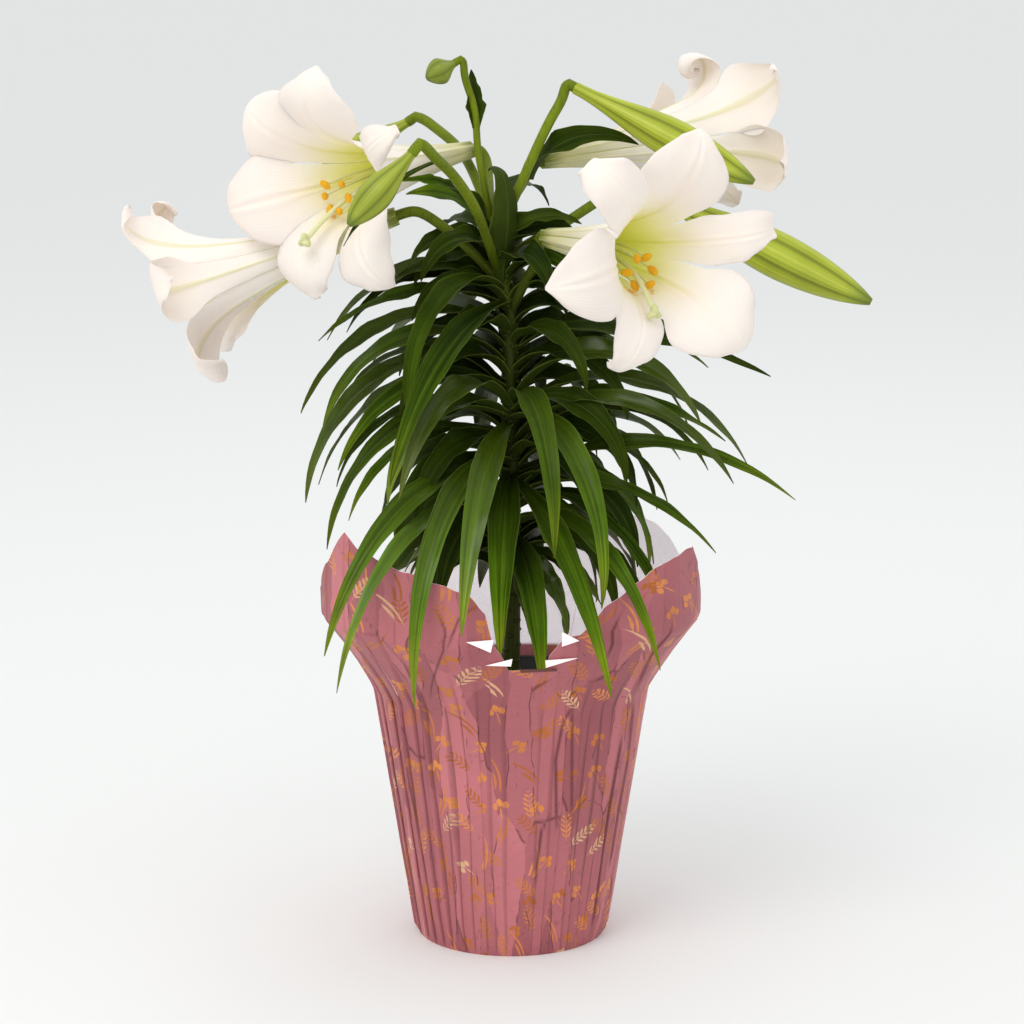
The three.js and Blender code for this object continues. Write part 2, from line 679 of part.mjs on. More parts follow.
// Stamens and pistil on one base in the throat, drooping and swaying away from the flower's axis
function stamens(bloom) {
  const { reach, droop, styleDroop, sway, styleSway, spread } = { ...STAMEN, ...bloom.stamens };
  const path = (angle, length, spread, fall, aside, steps) =>
    Array.from({ length: steps + 1 }, (_, k) => {
      const u = k / steps;
      const radius = lerp(1.6, spread, u ** 1.4);
      const x = radius * Math.cos(angle) - fall * u ** 3.5;
      return vec(x, radius * Math.sin(angle) + aside * u ** 3.5, lerp(STAMEN.foot, length * reach, u));
    });
  const style = path(0, STAMEN.style, 0, styleDroop, styleSway, 5);
  const stigma = style[5];
  const lobes = Array.from({ length: 6 }, (_, j) => {
    const size = j % 2 === 0 ? 5 : 2.8;
    const angle = (TAU * j) / 6;
    return vec(stigma.x + size * Math.cos(angle), stigma.y + size * Math.sin(angle), stigma.z);
  });
  const receptacle = { radius: 2.3, length: 9 };
  const base = new THREE.CylinderGeometry(receptacle.radius, 1.9, receptacle.length, 6).rotateX(Math.PI / 2);
  base.translate(0, 0, BLOOM.wall + CLEARANCE + receptacle.length / 2);
  const pieces = [
    solidOf(base),
    rod(style, 1.3, 4),
    solid(skin([[stigma.clone().setZ(stigma.z - 4)], lobes, [stigma.clone().setZ(stigma.z + 2)]])),
  ];
  for (let k = 0; k < STAMEN.count; k += 1) {
    const angle = (TAU * (k + 0.5)) / STAMEN.count;
    const points = path(angle, STAMEN.length - 6 * draw(k, 7), spread, droop, sway, 3);
    const { length, width, depth } = STAMEN.anther;
    const anther = new THREE.OctahedronGeometry(1).scale(length / 2, width / 2, depth / 2);
    anther.rotateY(-0.5).rotateZ(TAU * draw(k, 8)).translate(points[3].x, points[3].y, points[3].z + 0.4);
    pieces.push(rod(points, STAMEN.radius, 3), solidOf(anther));
  }
  return placed(fuse(pieces), bloomMatrix(bloom));
}

// Each flower: its base, the way it opens, the stalk up to it, its stamens where they differ, and its petals
const BLOOMS = [
  {
    name: "front_right",
    base: vec(21.5, -22, 442.2),
    axis: vec(0.487, -0.873, 0.023),
    stalk: [vec(0, -1, 394), vec(8, -9, 412), vec(16, -18, 429)],
    stamens: { droop: 11, styleDroop: 32, sway: 2, styleSway: 8, spread: 9 },
    petals: [
      { angle: -17, flare: 66, length: 1.03, width: 1.1 },
      { angle: 45, flare: 78, curl: 110, length: 1.19, width: 0.9, blunt: 0.5, skew: 4 },
      { angle: 99, flare: 90, curl: 50, length: 1.12 },
      { angle: 157, flare: 66, curl: 100, length: 1.07, width: 0.95, hook: -5, blunt: 0.6, taper: 0.3 },
      { angle: 219, flare: 42, curl: 90, length: 1.05, width: 1.15 },
      { angle: 280, flare: 48, curl: 90, length: 1.06, width: 0.74, blunt: 0.4, skew: 8 },
    ],
  },
  {
    name: "upper_left",
    base: vec(-25.5, 50, 488.1),
    axis: vec(-0.642, -0.762, -0.091),
    stalk: [vec(-11, 3, 440), vec(-13, 20, 457), vec(-14, 42, 471), vec(-16, 57, 483)],
    stamens: { droop: 10, styleDroop: 32, sway: 6, styleSway: 9, reach: 1.05, spread: 9 },
    petals: [
      { angle: -6, flare: 54, length: 1.05, width: 1.2, hook: -6 },
      { angle: 47, flare: 54, curl: 90, length: 1.05, width: 1.4 },
      { angle: 104, flare: 54, length: 1.03, width: 1.08, blunt: 0.25 },
      { angle: 158, flare: 90, curl: 100, length: 1.09, width: 1.1, hook: 4, blunt: 0.6, skew: -4 },
      { angle: 220, flare: 84, length: 1.03 },
      { angle: 302, flare: 60, curl: 90, width: 0.62, blunt: 0.4 },
    ],
  },
  {
    name: "lower_left",
    base: vec(-69.7, -8, 453.3),
    axis: vec(-0.937, 0.083, -0.338),
    stalk: [vec(-6, 1, 410), vec(-20, -4, 427), vec(-40, -8, 446), vec(-58, -9, 457)],
    petals: [
      { angle: -29, flare: 36, curl: 110, length: 1.05, width: 1.05, taper: 0.3 },
      { angle: 34, flare: 38, curl: 260, length: 1.1, width: 0.8 },
      { angle: 94, flare: 56 },
      { angle: 157, flare: 6, curl: 40, length: 0.86 },
      { angle: 217, flare: 84, curl: 200, length: 1.06 },
      { angle: 277, flare: 48, curl: 130, length: 1.05, width: 1.05, blunt: 0.4, skew: 5 },
    ],
  },
  {
    name: "back_right",
    base: vec(18.4, 25, 484.2),
    axis: vec(0.84, 0.53, 0.08),
    stalk: [vec(-10, 4, 440), vec(-1, 13, 458), vec(9, 20, 474)],
    petals: [
      { angle: 55, flare: 72, curl: 60, length: 1.03, taper: 0.35 },
      { angle: 106, flare: 54, curl: 90, length: 1.04, width: 1.1, blunt: 0.3 },
      { angle: 165, flare: 4, curl: 50, length: 0.84 },
      { angle: 228, flare: 60, curl: 90 },
      { angle: 288, flare: 2, curl: 50, length: 0.78 },
      { angle: 358, flare: 45, curl: 380, late: 1.8, length: 1.12, width: 0.9, taper: 0.7 },
    ],
  },
];

// Buds

// A closed bud: slim at its foot, fullest past the middle, drawn out to its tip, grooved between its petals
function bud({ base, tip, radius, fullest = 0.58 }) {
  const axis = tip.clone().sub(base);
  const length = axis.length();
  const sides = 12;
  const girth = (u) => {
    if (u < fullest) return lerp(0.3, 1, smooth(u, 0, fullest));
    return (1 - ((u - fullest) / (1.02 - fullest)) ** 1.9) ** 0.8;
  };
  const ring = (u) =>
    Array.from({ length: sides }, (_, j) => {
      const angle = (TAU * j) / sides;
      const r = radius * girth(u) * (j % 2 === 0 ? 1 : 0.9);
      return vec(r * Math.cos(angle), r * Math.sin(angle), u * length);
    });
  const shares = [0, 0.2, 0.4, 0.58, 0.74, 0.88, 0.97];
  const shape = solid(skin([[vec(0, 0, 0)], ...shares.map(ring), [vec(0, 0, length)]]));
  const turn = new THREE.Quaternion().setFromUnitVectors(vec(0, 0, 1), axis.normalize());
  return placed(shape, new THREE.Matrix4().makeRotationFromQuaternion(turn).setPosition(base));
}

const BUDS = [
  {
    name: "upper_right",
    base: vec(39, 15, 529),
    tip: vec(147, -10, 474),
    radius: 13,
    stalk: [vec(-10, 4, 438), vec(0, 6, 458), vec(12, 8, 485), vec(24, 12, 510), vec(33, 15, 526)],
  },
  {
    name: "right",
    base: vec(88, 32, 463),
    tip: vec(221, 4, 399),
    radius: 15,
    stalk: [vec(-7, 3, 424), vec(10, 12, 434), vec(33, 20, 446), vec(60, 28, 462), vec(78, 33, 467)],
  },
  {
    name: "left",
    base: vec(-56, -108, 501),
    tip: vec(-93, -118, 460),
    radius: 10,
    stalk: [vec(-8, 0, 418), vec(-14, -24, 440), vec(-22, -48, 464), vec(-35, -74, 486), vec(-47, -98, 500)],
  },
  {
    name: "top",
    base: vec(-34, -4, 545),
    tip: vec(-51, -8, 536),
    radius: 8.2,
    fullest: 0.5,
    stalk: [vec(-11, 4, 444), vec(-15, 0, 464), vec(-20, -4, 492), vec(-22, -4, 518), vec(-29, -4, 541)],
  },
  {
    name: "upper_left",
    base: vec(-64, 88, 503),
    tip: vec(-122, 104, 470),
    radius: 10,
    stalk: [vec(-11, 4, 440), vec(-18, 34, 462), vec(-33, 68, 488), vec(-53, 85, 503)],
  },
];

// The whole stalk of a flower or bud: its path, then straight on into the foot of what it carries
function stalkTo({ stalk: path, base, axis }) {
  const ends = [8, CLEARANCE].map((gap) => base.clone().addScaledVector(axis, -gap));
  return stalk([...path, ...ends], STALK.radius, STALK.radius + 0.4, STALK.sides, 7);
}

function leafyStem() {
  const carried = [
    ...BLOOMS.map((bloom) => ({ ...bloom, axis: bloom.axis.clone().normalize() })),
    ...BUDS.map((one) => ({ ...one, axis: one.tip.clone().sub(one.base).normalize() })),
  ];
  const shown = [...LEFT_LEAVES, ...RIGHT_LEAVES, ...TOP_LEAVES].map(asLeaf);
  const bracts = BRACTS.map((bract) => ({ ...bract, root: bract.foot.z }));
  return fuse([
    stalk(STEM_PATH, STEM.foot, STEM.top, STEM.sides, 8),
    ...carried.map(stalkTo),
    ...shown.map((leaf) => leafBlade(leaf, SHOWN_ROWS, Math.abs(leaf.heading) < 100 ? [-1, 0, 1] : [-1, 1])),
    ...bracts.map((leaf) => leafBlade(leaf, BACK_ROWS, [-1, 0, 1])),
    ...backLeaves().map((row) => leafBlade(asLeaf(row), BACK_ROWS, [-1, 1])),
  ]);
}

const part = new THREE.Group();
part.add(named("paper_cover", cover(), ROSE_PAPER));
part.add(named("nursery_pot", nurseryPot(), BLACK_PLASTIC));
part.add(named("potting_mix", soil(), POTTING_MIX));
part.add(named("bulb", bulb(), BULB_SCALE));
part.add(named("leafy_stem", leafyStem(), LEAF_GREEN));
for (const bloom of BLOOMS) {
  part.add(named(`flower_${bloom.name}`, trumpet(bloom), PETAL_WHITE));
  part.add(named(`stamens_${bloom.name}`, stamens(bloom), STAMEN_GREEN));
}
for (const one of BUDS) part.add(named(`bud_${one.name}`, bud(one), BUD_GREEN));

export default part;
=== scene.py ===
"""Dresses the potted Easter lily: petals, stamens, buds, foliage, soil, pot and its pleated paper cover.

Sizes are in millimetres here and turned into metres where a mesh is made. Headings are degrees round the
stem, from 0 at the front, growing towards +X. The leaves, flowers and cover follow the same rules as the
solids they stand for, on a finer net.
"""
import logging
import math
from dataclasses import dataclass, field
from enum import Enum
from typing import Any, Sequence

import bmesh
import bpy
import numpy as np
from mathutils import Matrix, Vector


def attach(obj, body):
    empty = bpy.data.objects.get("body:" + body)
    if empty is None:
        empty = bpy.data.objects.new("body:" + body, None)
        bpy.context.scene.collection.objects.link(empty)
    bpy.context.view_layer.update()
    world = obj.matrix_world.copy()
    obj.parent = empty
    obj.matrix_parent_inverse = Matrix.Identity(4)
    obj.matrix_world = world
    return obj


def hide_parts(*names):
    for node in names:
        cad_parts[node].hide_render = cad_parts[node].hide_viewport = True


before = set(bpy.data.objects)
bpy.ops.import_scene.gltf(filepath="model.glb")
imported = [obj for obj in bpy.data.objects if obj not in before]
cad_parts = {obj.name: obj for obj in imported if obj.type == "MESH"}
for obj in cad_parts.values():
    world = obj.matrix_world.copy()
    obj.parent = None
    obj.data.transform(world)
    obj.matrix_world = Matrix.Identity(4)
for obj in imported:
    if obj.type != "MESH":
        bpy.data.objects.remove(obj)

LOG = logging.getLogger("easter_lily")
MM = 0.001
TAU = 2 * math.pi
ROOT = "root"
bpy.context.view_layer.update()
BLACK = (0.0, 0.0, 0.0)

Colour = tuple[float, float, float]
Row = Sequence[float]


class Slot(Enum):
    """The record's material slots."""

    PAPER = "rose_paper"
    PLASTIC = "black_plastic"
    MIX = "potting_mix"
    SCALES = "bulb_scales"
    GREEN = "leaf_green"
    WHITE = "petal_white"
    YELLOW = "stamen_yellow"
    BUD = "bud_green"


# Small sums

def draw(index: float, salt: float) -> float:
    """A repeatable draw from 0 to 1, the same one that the solids use.

    Args:
        index: Which item the draw is for.
        salt: Which property of it.

    Returns:
        A number from 0 up to 1.
    """
    x = math.sin(index * 127.1 + salt * 311.7) * 43758.5453
    return x - math.floor(x)


def smooth(x: Any, low: float, high: float) -> Any:
    """Smoothstep of x between low and high, for numbers and arrays."""
    share = np.clip((np.asarray(x, float) - low) / (high - low), 0, 1)
    return share * share * (3 - 2 * share)


def lerp(low: Any, high: Any, share: Any) -> Any:
    """The value at a share of the way from low to high."""
    return low + (high - low) * share


def bell(x: Any, width: float) -> Any:
    """A bell curve of x round 0: 1 in its middle, and small a width and a half away."""
    return np.exp(-((x / width) ** 2))


def unit(vector: Any) -> np.ndarray:
    """A vector, or each of a row of vectors, at length one."""
    vector = np.asarray(vector, float)
    return vector / np.linalg.norm(vector, axis=-1, keepdims=True)


def outward(heading: float) -> np.ndarray:
    """The level direction at a heading."""
    angle = math.radians(heading)
    return np.array([math.sin(angle), -math.cos(angle), 0])


def ripple(x: Any, waves: float, phase: float) -> Any:
    """A sine of so many waves over x from 0 to 1, from a phase of 0 to 1."""
    return np.sin(TAU * (waves * np.asarray(x, float) + phase))


def around(count: int) -> np.ndarray:
    """So many even angles round a circle."""
    return np.arange(count) / count * TAU


def ring(radius: Any, angles: Any, z: Any) -> np.ndarray:
    """Points round the upright axis, at the radius and height of each angle."""
    return np.stack(np.broadcast_arrays(radius * np.cos(angles), radius * np.sin(angles), z), axis=-1)


def turned(profile: Sequence[tuple[float, float]], sides: int) -> np.ndarray:
    """The rings of a profile of radius and height rows, turned about the upright axis."""
    return np.array([ring(r, around(sides), z) for r, z in profile])


def catmull(points: Sequence[Sequence[float]], steps: int) -> np.ndarray:
    """A smooth centripetal curve through points, at even steps of its length.

    Args:
        points: The points that it passes, in millimetres.
        steps: How many equal stretches to return.

    Returns:
        An array of steps + 1 points.
    """
    given = np.array(points, float)
    padded = np.vstack([2 * given[0] - given[1], given, 2 * given[-1] - given[-2]])
    t = np.arange(24)[:, None] / 24
    fine = []
    for p0, p1, p2, p3 in zip(padded, padded[1:], padded[2:], padded[3:]):
        d0, d1, d2 = (max(math.sqrt(np.linalg.norm(b - a)), 1e-4) for a, b in ((p0, p1), (p1, p2), (p2, p3)))
        start = ((p1 - p0) / d0 - (p2 - p0) / (d0 + d1) + (p2 - p1) / d1) * d1
        end = ((p2 - p1) / d1 - (p3 - p1) / (d1 + d2) + (p3 - p2) / d2) * d1
        fine.append((2 * t**3 - 3 * t**2 + 1) * p1 + (t**3 - 2 * t**2 + t) * start
                    + (3 * t**2 - 2 * t**3) * p2 + (t**3 - t**2) * end)
    fine = np.vstack([*fine, given[-1]])
    length = np.concatenate([[0], np.cumsum(np.linalg.norm(np.diff(fine, axis=0), axis=1))])
    even = np.linspace(0, length[-1], steps + 1)
    return np.stack([np.interp(even, length, fine[:, k]) for k in range(3)], axis=1)


# Meshes

def new_piece(name: str, points: Any, edges: Any = (), faces: Any = (), **marks: Any) -> bpy.types.Object:
    """Makes and links a mesh object.

    Args:
        name: Its name.
        points: Rows of x, y, z in millimetres.
        edges: Pairs of points.
        faces: Rows of points.
        marks: A value for each point, by mark name.

    Returns:
        The object.
    """
    mesh = bpy.data.meshes.new(name)
    mesh.from_pydata((np.asarray(points, float) * MM).tolist(), list(edges), list(faces))
    for mark, values in marks.items():
        mesh.attributes.new(mark, "FLOAT", "POINT").data.foreach_set("value", np.array(values, np.float32))
    piece = bpy.data.objects.new(name, mesh)
    bpy.context.collection.objects.link(piece)
    return piece


class Shell:
    """One mesh in the making: points in millimetres, faces, and named values at each point."""

    def __init__(self) -> None:
        """Starts with nothing in it."""
        self.points: list[np.ndarray] = []
        self.faces: list[tuple[int, ...]] = []
        self.marks: dict[str, list[np.ndarray]] = {}
        self.count = 0

    def put(self, points: np.ndarray, marks: dict[str, Any]) -> int:
        """Adds points with their marks.

        Args:
            points: Rows of x, y, z.
            marks: A value, or a value for each point, by mark name.

        Returns:
            The index of the first of them.
        """
        start = self.count
        self.points.append(np.asarray(points, float).reshape(-1, 3))
        added = len(self.points[-1])
        for name in sorted({*self.marks, *marks}):
            values = self.marks.setdefault(name, [np.zeros(start)])
            values.append(np.broadcast_to(np.asarray(marks.get(name, 0.0), float).ravel(), (added,)))
        self.count += added
        return start

    def skin(self, rings: np.ndarray, **marks: Any) -> None:
        """Adds a closed skin through a row of rings, with a pole in the middle of each end ring.

        Args:
            rings: An array of rings by points round by 3.
            marks: A value, or an array of rings by points round, by mark name.
        """
        rows, sides, _ = rings.shape
        start = self.put(rings, marks)
        for low in range(start, start + (rows - 1) * sides, sides):
            for j in range(sides):
                after = (j + 1) % sides
                self.faces.append((low + j, low + after, low + sides + after, low + sides + j))
        for row, backwards in ((0, True), (rows - 1, False)):
            ends = {name: value[row].mean() if np.ndim(value) else value for name, value in marks.items()}
            pole = self.put(rings[row].mean(axis=0), ends)
            first = start + row * sides
            for j in range(sides):
                pair = (first + j, first + (j + 1) % sides)
                self.faces.append((*(pair[::-1] if backwards else pair), pole))

    def sheet(self, top: np.ndarray, low: np.ndarray, **marks: Any) -> None:
        """Adds a thin closed sheet from the nets of its two faces.

        Args:
            top: One face, rows by columns by 3.
            low: The other face.
            marks: What both faces have at their points, or a pair of what each has, by mark name.
        """
        shape = top.shape[:2]
        spread = {}
        for name, mark in marks.items():
            near, far = mark if isinstance(mark, tuple) else (mark, mark)
            spread[name] = np.hstack([np.broadcast_to(near, shape), np.broadcast_to(far, shape)[:, ::-1]])
        self.skin(np.concatenate([top, low[:, ::-1]], axis=1), **spread)

    def build(self, name: str, material: bpy.types.Material, crease: float = 60) -> bpy.types.Object:
        """Makes the mesh object, its faces outwards, shaded smooth but at creases sharper than given."""
        marks = {mark: np.concatenate(values) for mark, values in self.marks.items()}
        piece = new_piece(name, np.concatenate(self.points), faces=self.faces, **marks)
        work = bmesh.new()
        work.from_mesh(piece.data)
        bmesh.ops.recalc_face_normals(work, faces=work.faces)
        work.to_mesh(piece.data)
        work.free()
        piece.data.materials.append(material)
        piece.data.shade_smooth()
        piece.data.set_sharp_from_angle(angle=math.radians(crease))
        return piece


# Node trees

def opaque(colour: Any) -> Any:
    """A plain colour with its alpha; a signal is left as it is."""
    return colour if isinstance(colour, Signal) else (*colour, 1.0)


class Signal:
    """One output of a node. Sums, products and the like of signals add math nodes to its tree."""

    def __init__(self, wiring: "Wiring", socket: bpy.types.NodeSocket) -> None:
        """Keeps the tree's wiring and the output's socket."""
        self.wiring, self.socket = wiring, socket

    def apply(self, operation: str, *values: Any) -> "Signal":
        """Adds a math node on values in order, or a vector math node where one of them is a vector."""
        flat = all(
            value.socket.type not in ("VECTOR", "RGBA") if isinstance(value, Signal) else np.ndim(value) == 0
            for value in values
        )
        kind = "ShaderNodeMath" if flat else "ShaderNodeVectorMath"
        return self.wiring.out(kind, dict(enumerate(values)), operation=operation)

    def __add__(self, other: Any) -> "Signal":
        """This and another."""
        return self.apply("ADD", self, other)

    def __sub__(self, other: Any) -> "Signal":
        """This less another."""
        return self.apply("SUBTRACT", self, other)

    def __rsub__(self, other: Any) -> "Signal":
        """Another less this."""
        return self.apply("SUBTRACT", other, self)

    def __mul__(self, other: Any) -> "Signal":
        """This times another."""
        return self.apply("MULTIPLY", self, other)

    def __truediv__(self, other: Any) -> "Signal":
        """This by another."""
        return self.apply("DIVIDE", self, other)

    def __rtruediv__(self, other: Any) -> "Signal":
        """Another by this."""
        return self.apply("DIVIDE", other, self)

    def __pow__(self, other: float) -> "Signal":
        """This to a power."""
        return self.apply("POWER", self, other)

    def __abs__(self) -> "Signal":
        """Its size without its sign."""
        return self.apply("ABSOLUTE", self)

    def __or__(self, other: Any) -> "Signal":
        """The greater of this and another."""
        return self.apply("MAXIMUM", self, other)

    def above(self, other: float) -> "Signal":
        """1 where this is greater than another, and 0 elsewhere."""
        return self.apply("GREATER_THAN", self, other)

    def clipped(self) -> "Signal":
        """This, kept between 0 and 1 by the math node that it leaves."""
        self.socket.node.use_clamp = True
        return self

    def ramp(self, low: float, high: float, start: float = 0, end: float = 1) -> "Signal":
        """A smooth step from start to end as this goes from low to high."""
        inputs = {0: self, 1: low, 2: high, 3: start, 4: end}
        return self.wiring.out("ShaderNodeMapRange", inputs, interpolation_type="SMOOTHSTEP")


class Wiring:
    """Adds nodes to one tree, shader or geometry, and links them."""

    def __init__(self, tree: bpy.types.NodeTree) -> None:
        """Keeps the tree to add to."""
        self.tree = tree

    def node(self, kind: str, inputs: dict[Any, Any] | None = None, **settings: Any) -> bpy.types.Node:
        """Adds a node.

        Args:
            kind: The node's type name.
            inputs: A value or a signal for each input, by name or number.
            settings: The node's own properties.

        Returns:
            The node.
        """
        made = self.tree.nodes.new(kind)
        for name, value in settings.items():
            setattr(made, name, value)
        for key, value in (inputs or {}).items():
            self.feed(made.inputs[key], value)
        return made

    def out(self, kind: str, inputs: Any = None, output: Any = 0, **settings: Any) -> Signal:
        """Adds a node and takes one of its outputs, by name or number."""
        return Signal(self, self.node(kind, inputs, **settings).outputs[output])

    def outs(self, node: bpy.types.Node) -> dict[str, Signal]:
        """The outputs of a node, by name."""
        return {socket.name: Signal(self, socket) for socket in node.outputs}

    def feed(self, socket: bpy.types.NodeSocket, value: Any) -> None:
        """Links a signal to a socket, or sets the socket to a plain value."""
        if isinstance(value, Signal):
            self.tree.links.new(value.socket, socket)
        else:
            socket.default_value = value

    def noise(self, place: Signal, scale: Any, detail: float, output: Any = 0, **inputs: Any) -> Signal:
        """Noise at places, as fine and as detailed as asked."""
        inputs = {"Vector": place, "Scale": scale, "Detail": detail, **inputs}
        return self.out("ShaderNodeTexNoise", inputs, output)

    def mix(self, share: Any, low: Any, high: Any, blend: str = "MIX") -> Signal:
        """A colour between low and high."""
        inputs = {0: share, 6: opaque(low), 7: opaque(high)}
        return self.out("ShaderNodeMix", inputs, 2, data_type="RGBA", blend_type=blend)

    def coats(self, colour: Any, *coats: tuple[Any, Any]) -> Any:
        """A colour with coats of others laid over it, each a share and its colour."""
        for share, other in coats:
            colour = self.mix(share, colour, other)
        return colour

    def mark(self, name: str) -> Signal:
        """The value of one of the mesh's marks, in a shader."""
        return self.out("ShaderNodeAttribute", None, "Fac", attribute_name=name)

    def group(self, tree: bpy.types.NodeTree, **inputs: Any) -> dict[str, Signal]:
        """Places a node group with its inputs, and gives its outputs by name."""
        return self.outs(self.node(self.tree.bl_idname.replace("Tree", "Group"), inputs, node_tree=tree))


def new_group(
    name: str, kind: str, inputs: dict[str, tuple[str, Any]], outputs: dict[str, str],
) -> tuple[Wiring, dict[str, Signal], bpy.types.Node]:
    """Starts a node group with named sockets.

    Args:
        name: The group's name.
        kind: ShaderNodeTree or GeometryNodeTree.
        inputs: Socket type and default by name.
        outputs: Socket type by name.

    Returns:
        The wiring, the group's inputs by name and its output node.
    """
    tree = bpy.data.node_groups.new(name, kind)
    for label, (socket, default) in inputs.items():
        made = tree.interface.new_socket(label, in_out="INPUT", socket_type=f"NodeSocket{socket}")
        if default is not None:
            made.default_value = default
    for label, socket in outputs.items():
        tree.interface.new_socket(label, in_out="OUTPUT", socket_type=f"NodeSocket{socket}")
    wiring = Wiring(tree)
    return wiring, wiring.outs(wiring.node("NodeGroupInput")), wiring.node("NodeGroupOutput")


# Shader groups

def mottle_group() -> bpy.types.NodeTree:
    """Soft patches in object space: a tone round 1 for colours, and a fine grain for bumps."""
    wiring, given, out = new_group(
        "Mottle", "ShaderNodeTree",
        {"Patch": ("Float", 60.0), "Grain": ("Float", 900.0), "Amount": ("Float", 0.1)},
        {"Tone": "Float", "Grain": "Float"},
    )
    place = wiring.out("ShaderNodeTexCoord", None, "Object")
    swing = (wiring.noise(place, given["Patch"], 3.0) - 0.5) * given["Amount"]
    wiring.feed(out.inputs["Tone"], swing * 2.0 + 1.0)
    wiring.feed(out.inputs["Grain"], wiring.noise(place, given["Grain"], 2.0))
    return wiring.tree


def vein_group() -> bpy.types.NodeTree:
    """Parallel veins along a leaf or petal, from its place across the blade."""
    wiring, given, out = new_group(
        "Veins", "ShaderNodeTree",
        {"Across": ("Float", 0.0), "Along": ("Float", 0.0), "Count": ("Float", 12.0), "Rib": ("Float", 0.05)},
        {"Lines": "Float", "Midrib": "Float"},
    )
    side = abs(given["Across"])
    phase = side * (given["Along"] * 0.25 + 1.0) * given["Count"] * TAU
    wiring.feed(out.inputs["Lines"], phase.apply("SINE", phase) * 0.5 + 0.5)
    wiring.feed(out.inputs["Midrib"], (side / given["Rib"]).ramp(0.3, 1.0, 1.0, 0.0))
    return wiring.tree


def lens(x: Signal, y: Signal, half_width: float, half_length: float) -> Signal:
    """A slim pointed lens, 1 inside and 0 outside."""
    room = (1.0 - (y / half_length) ** 2.0) * half_width
    return (room - abs(x)).ramp(-0.15, 0.25)


def berry_motif(x: Signal, y: Signal) -> Signal:
    """A cluster of plump berries over one thin stem."""
    ink = lens(x, y + 3.0, 0.35, 4.0)
    for across, up, size in ((0.0, 2.6, 1.5), (-2.3, 0.6, 1.3), (2.2, 0.9, 1.35)):
        ink = ink | lens(x - across, y - up, size, size * 1.5)
    return ink


def stroke_motif(x: Signal, y: Signal) -> Signal:
    """Two thin bent strokes side by side."""
    bent = x + y**2.0 * 0.02
    return lens(bent, y, 0.6, 12.0) | lens(bent * -1.0 - 2.4, y + 3.0, 0.75, 5.0)


def sprig_motif(x: Signal, y: Signal) -> Signal:
    """A thin stem with pairs of small slanting leaflets, longest in the middle."""
    side, spacing = abs(x), 2.6
    raised = (y - side * 0.8) / spacing
    row = raised.apply("FRACT", raised) - 0.5
    leaflets = lens(row * spacing, side - 1.7, 0.8, 1.7)
    return leaflets * lens(x, y, 3.6, 7.5) | lens(x, y + 1.5, 0.3, 8.0)


def motif_group() -> bpy.types.NodeTree:
    """A scatter of printed motifs on a sheet measured in millimetres: berries, strokes and leafy sprigs."""
    wiring, given, out = new_group(
        "Printed motifs", "ShaderNodeTree",
        {"Sheet": ("Vector", (0.0, 0.0, 0.0)), "Spacing": ("Float", 28.0), "Shift": ("Float", 0.0)},
        {"Ink": "Float", "Tint": "Float"},
    )
    place = given["Sheet"] + given["Shift"]
    inputs = {"Vector": place, "Scale": 1.0 / given["Spacing"], "Randomness": 0.8}
    cells = wiring.outs(wiring.node("ShaderNodeTexVoronoi", inputs, voronoi_dimensions="2D"))
    turn, choice, tint = wiring.outs(wiring.node("ShaderNodeSeparateColor", {0: cells["Color"]})).values()
    inputs = {"Vector": place - cells["Position"], "Angle": turn * 2.2 - 1.1}
    local = wiring.out("ShaderNodeVectorRotate", inputs, rotation_type="Z_AXIS") * (0.78, 0.78, 0.0)
    x, y, _ = wiring.outs(wiring.node("ShaderNodeSeparateXYZ", {0: local})).values()
    ink: Any = 0.0
    motifs = ((berry_motif, -1.0, 0.30), (stroke_motif, 0.30, 0.62), (sprig_motif, 0.62, 0.95))
    for motif, low, high in motifs:
        chosen = choice.above(low) * choice.apply("LESS_THAN", choice, high)
        ink = motif(x, y) * chosen + ink
    wiring.feed(out.inputs["Ink"], ink)
    wiring.feed(out.inputs["Tint"], tint)
    return wiring.tree


@dataclass(frozen=True)
class ShaderKit:
    """The node groups that several finishes share."""

    mottle: bpy.types.NodeTree = field(default_factory=mottle_group)
    veins: bpy.types.NodeTree = field(default_factory=vein_group)
    motifs: bpy.types.NodeTree = field(default_factory=motif_group)


# Finishes

class Paint(Wiring):
    """A material in the making: the wiring of its tree round its Principled shader."""

    def __init__(self, name: str, settings: dict[str, Any]) -> None:
        """Starts a material, with plain values for the shader's sockets."""
        self.material = bpy.data.materials.new(name)
        self.material.use_nodes = True
        super().__init__(self.material.node_tree)
        self.shader = self.tree.nodes["Principled BSDF"]
        for socket, value in settings.items():
            self.give(socket, value)

    def give(self, socket: str, value: Any) -> None:
        """Feeds one of the shader's sockets."""
        self.feed(self.shader.inputs[socket], value)

    def shaded(self, colour: Any, tone: Signal) -> Signal:
        """A colour made darker or lighter by a tone round 1."""
        grey = self.out("ShaderNodeCombineColor", {channel: tone for channel in range(3)})
        return self.mix(1.0, colour, grey, "MULTIPLY")

    def finish(self, colour: Signal, rough: Any, height: Signal, bump: float) -> bpy.types.Material:
        """Feeds the shader its colour, roughness and bump, and gives the finished material.

        Args:
            colour: The base colour.
            rough: The roughness.
            height: What the bump follows.
            bump: The bump's depth in millimetres.

        Returns:
            The material.
        """
        self.give("Base Color", colour)
        self.give("Roughness", rough)
        relief = {"Strength": 1.0, "Distance": bump * MM, "Height": height}
        self.give("Normal", self.out("ShaderNodeBump", relief))
        return self.material


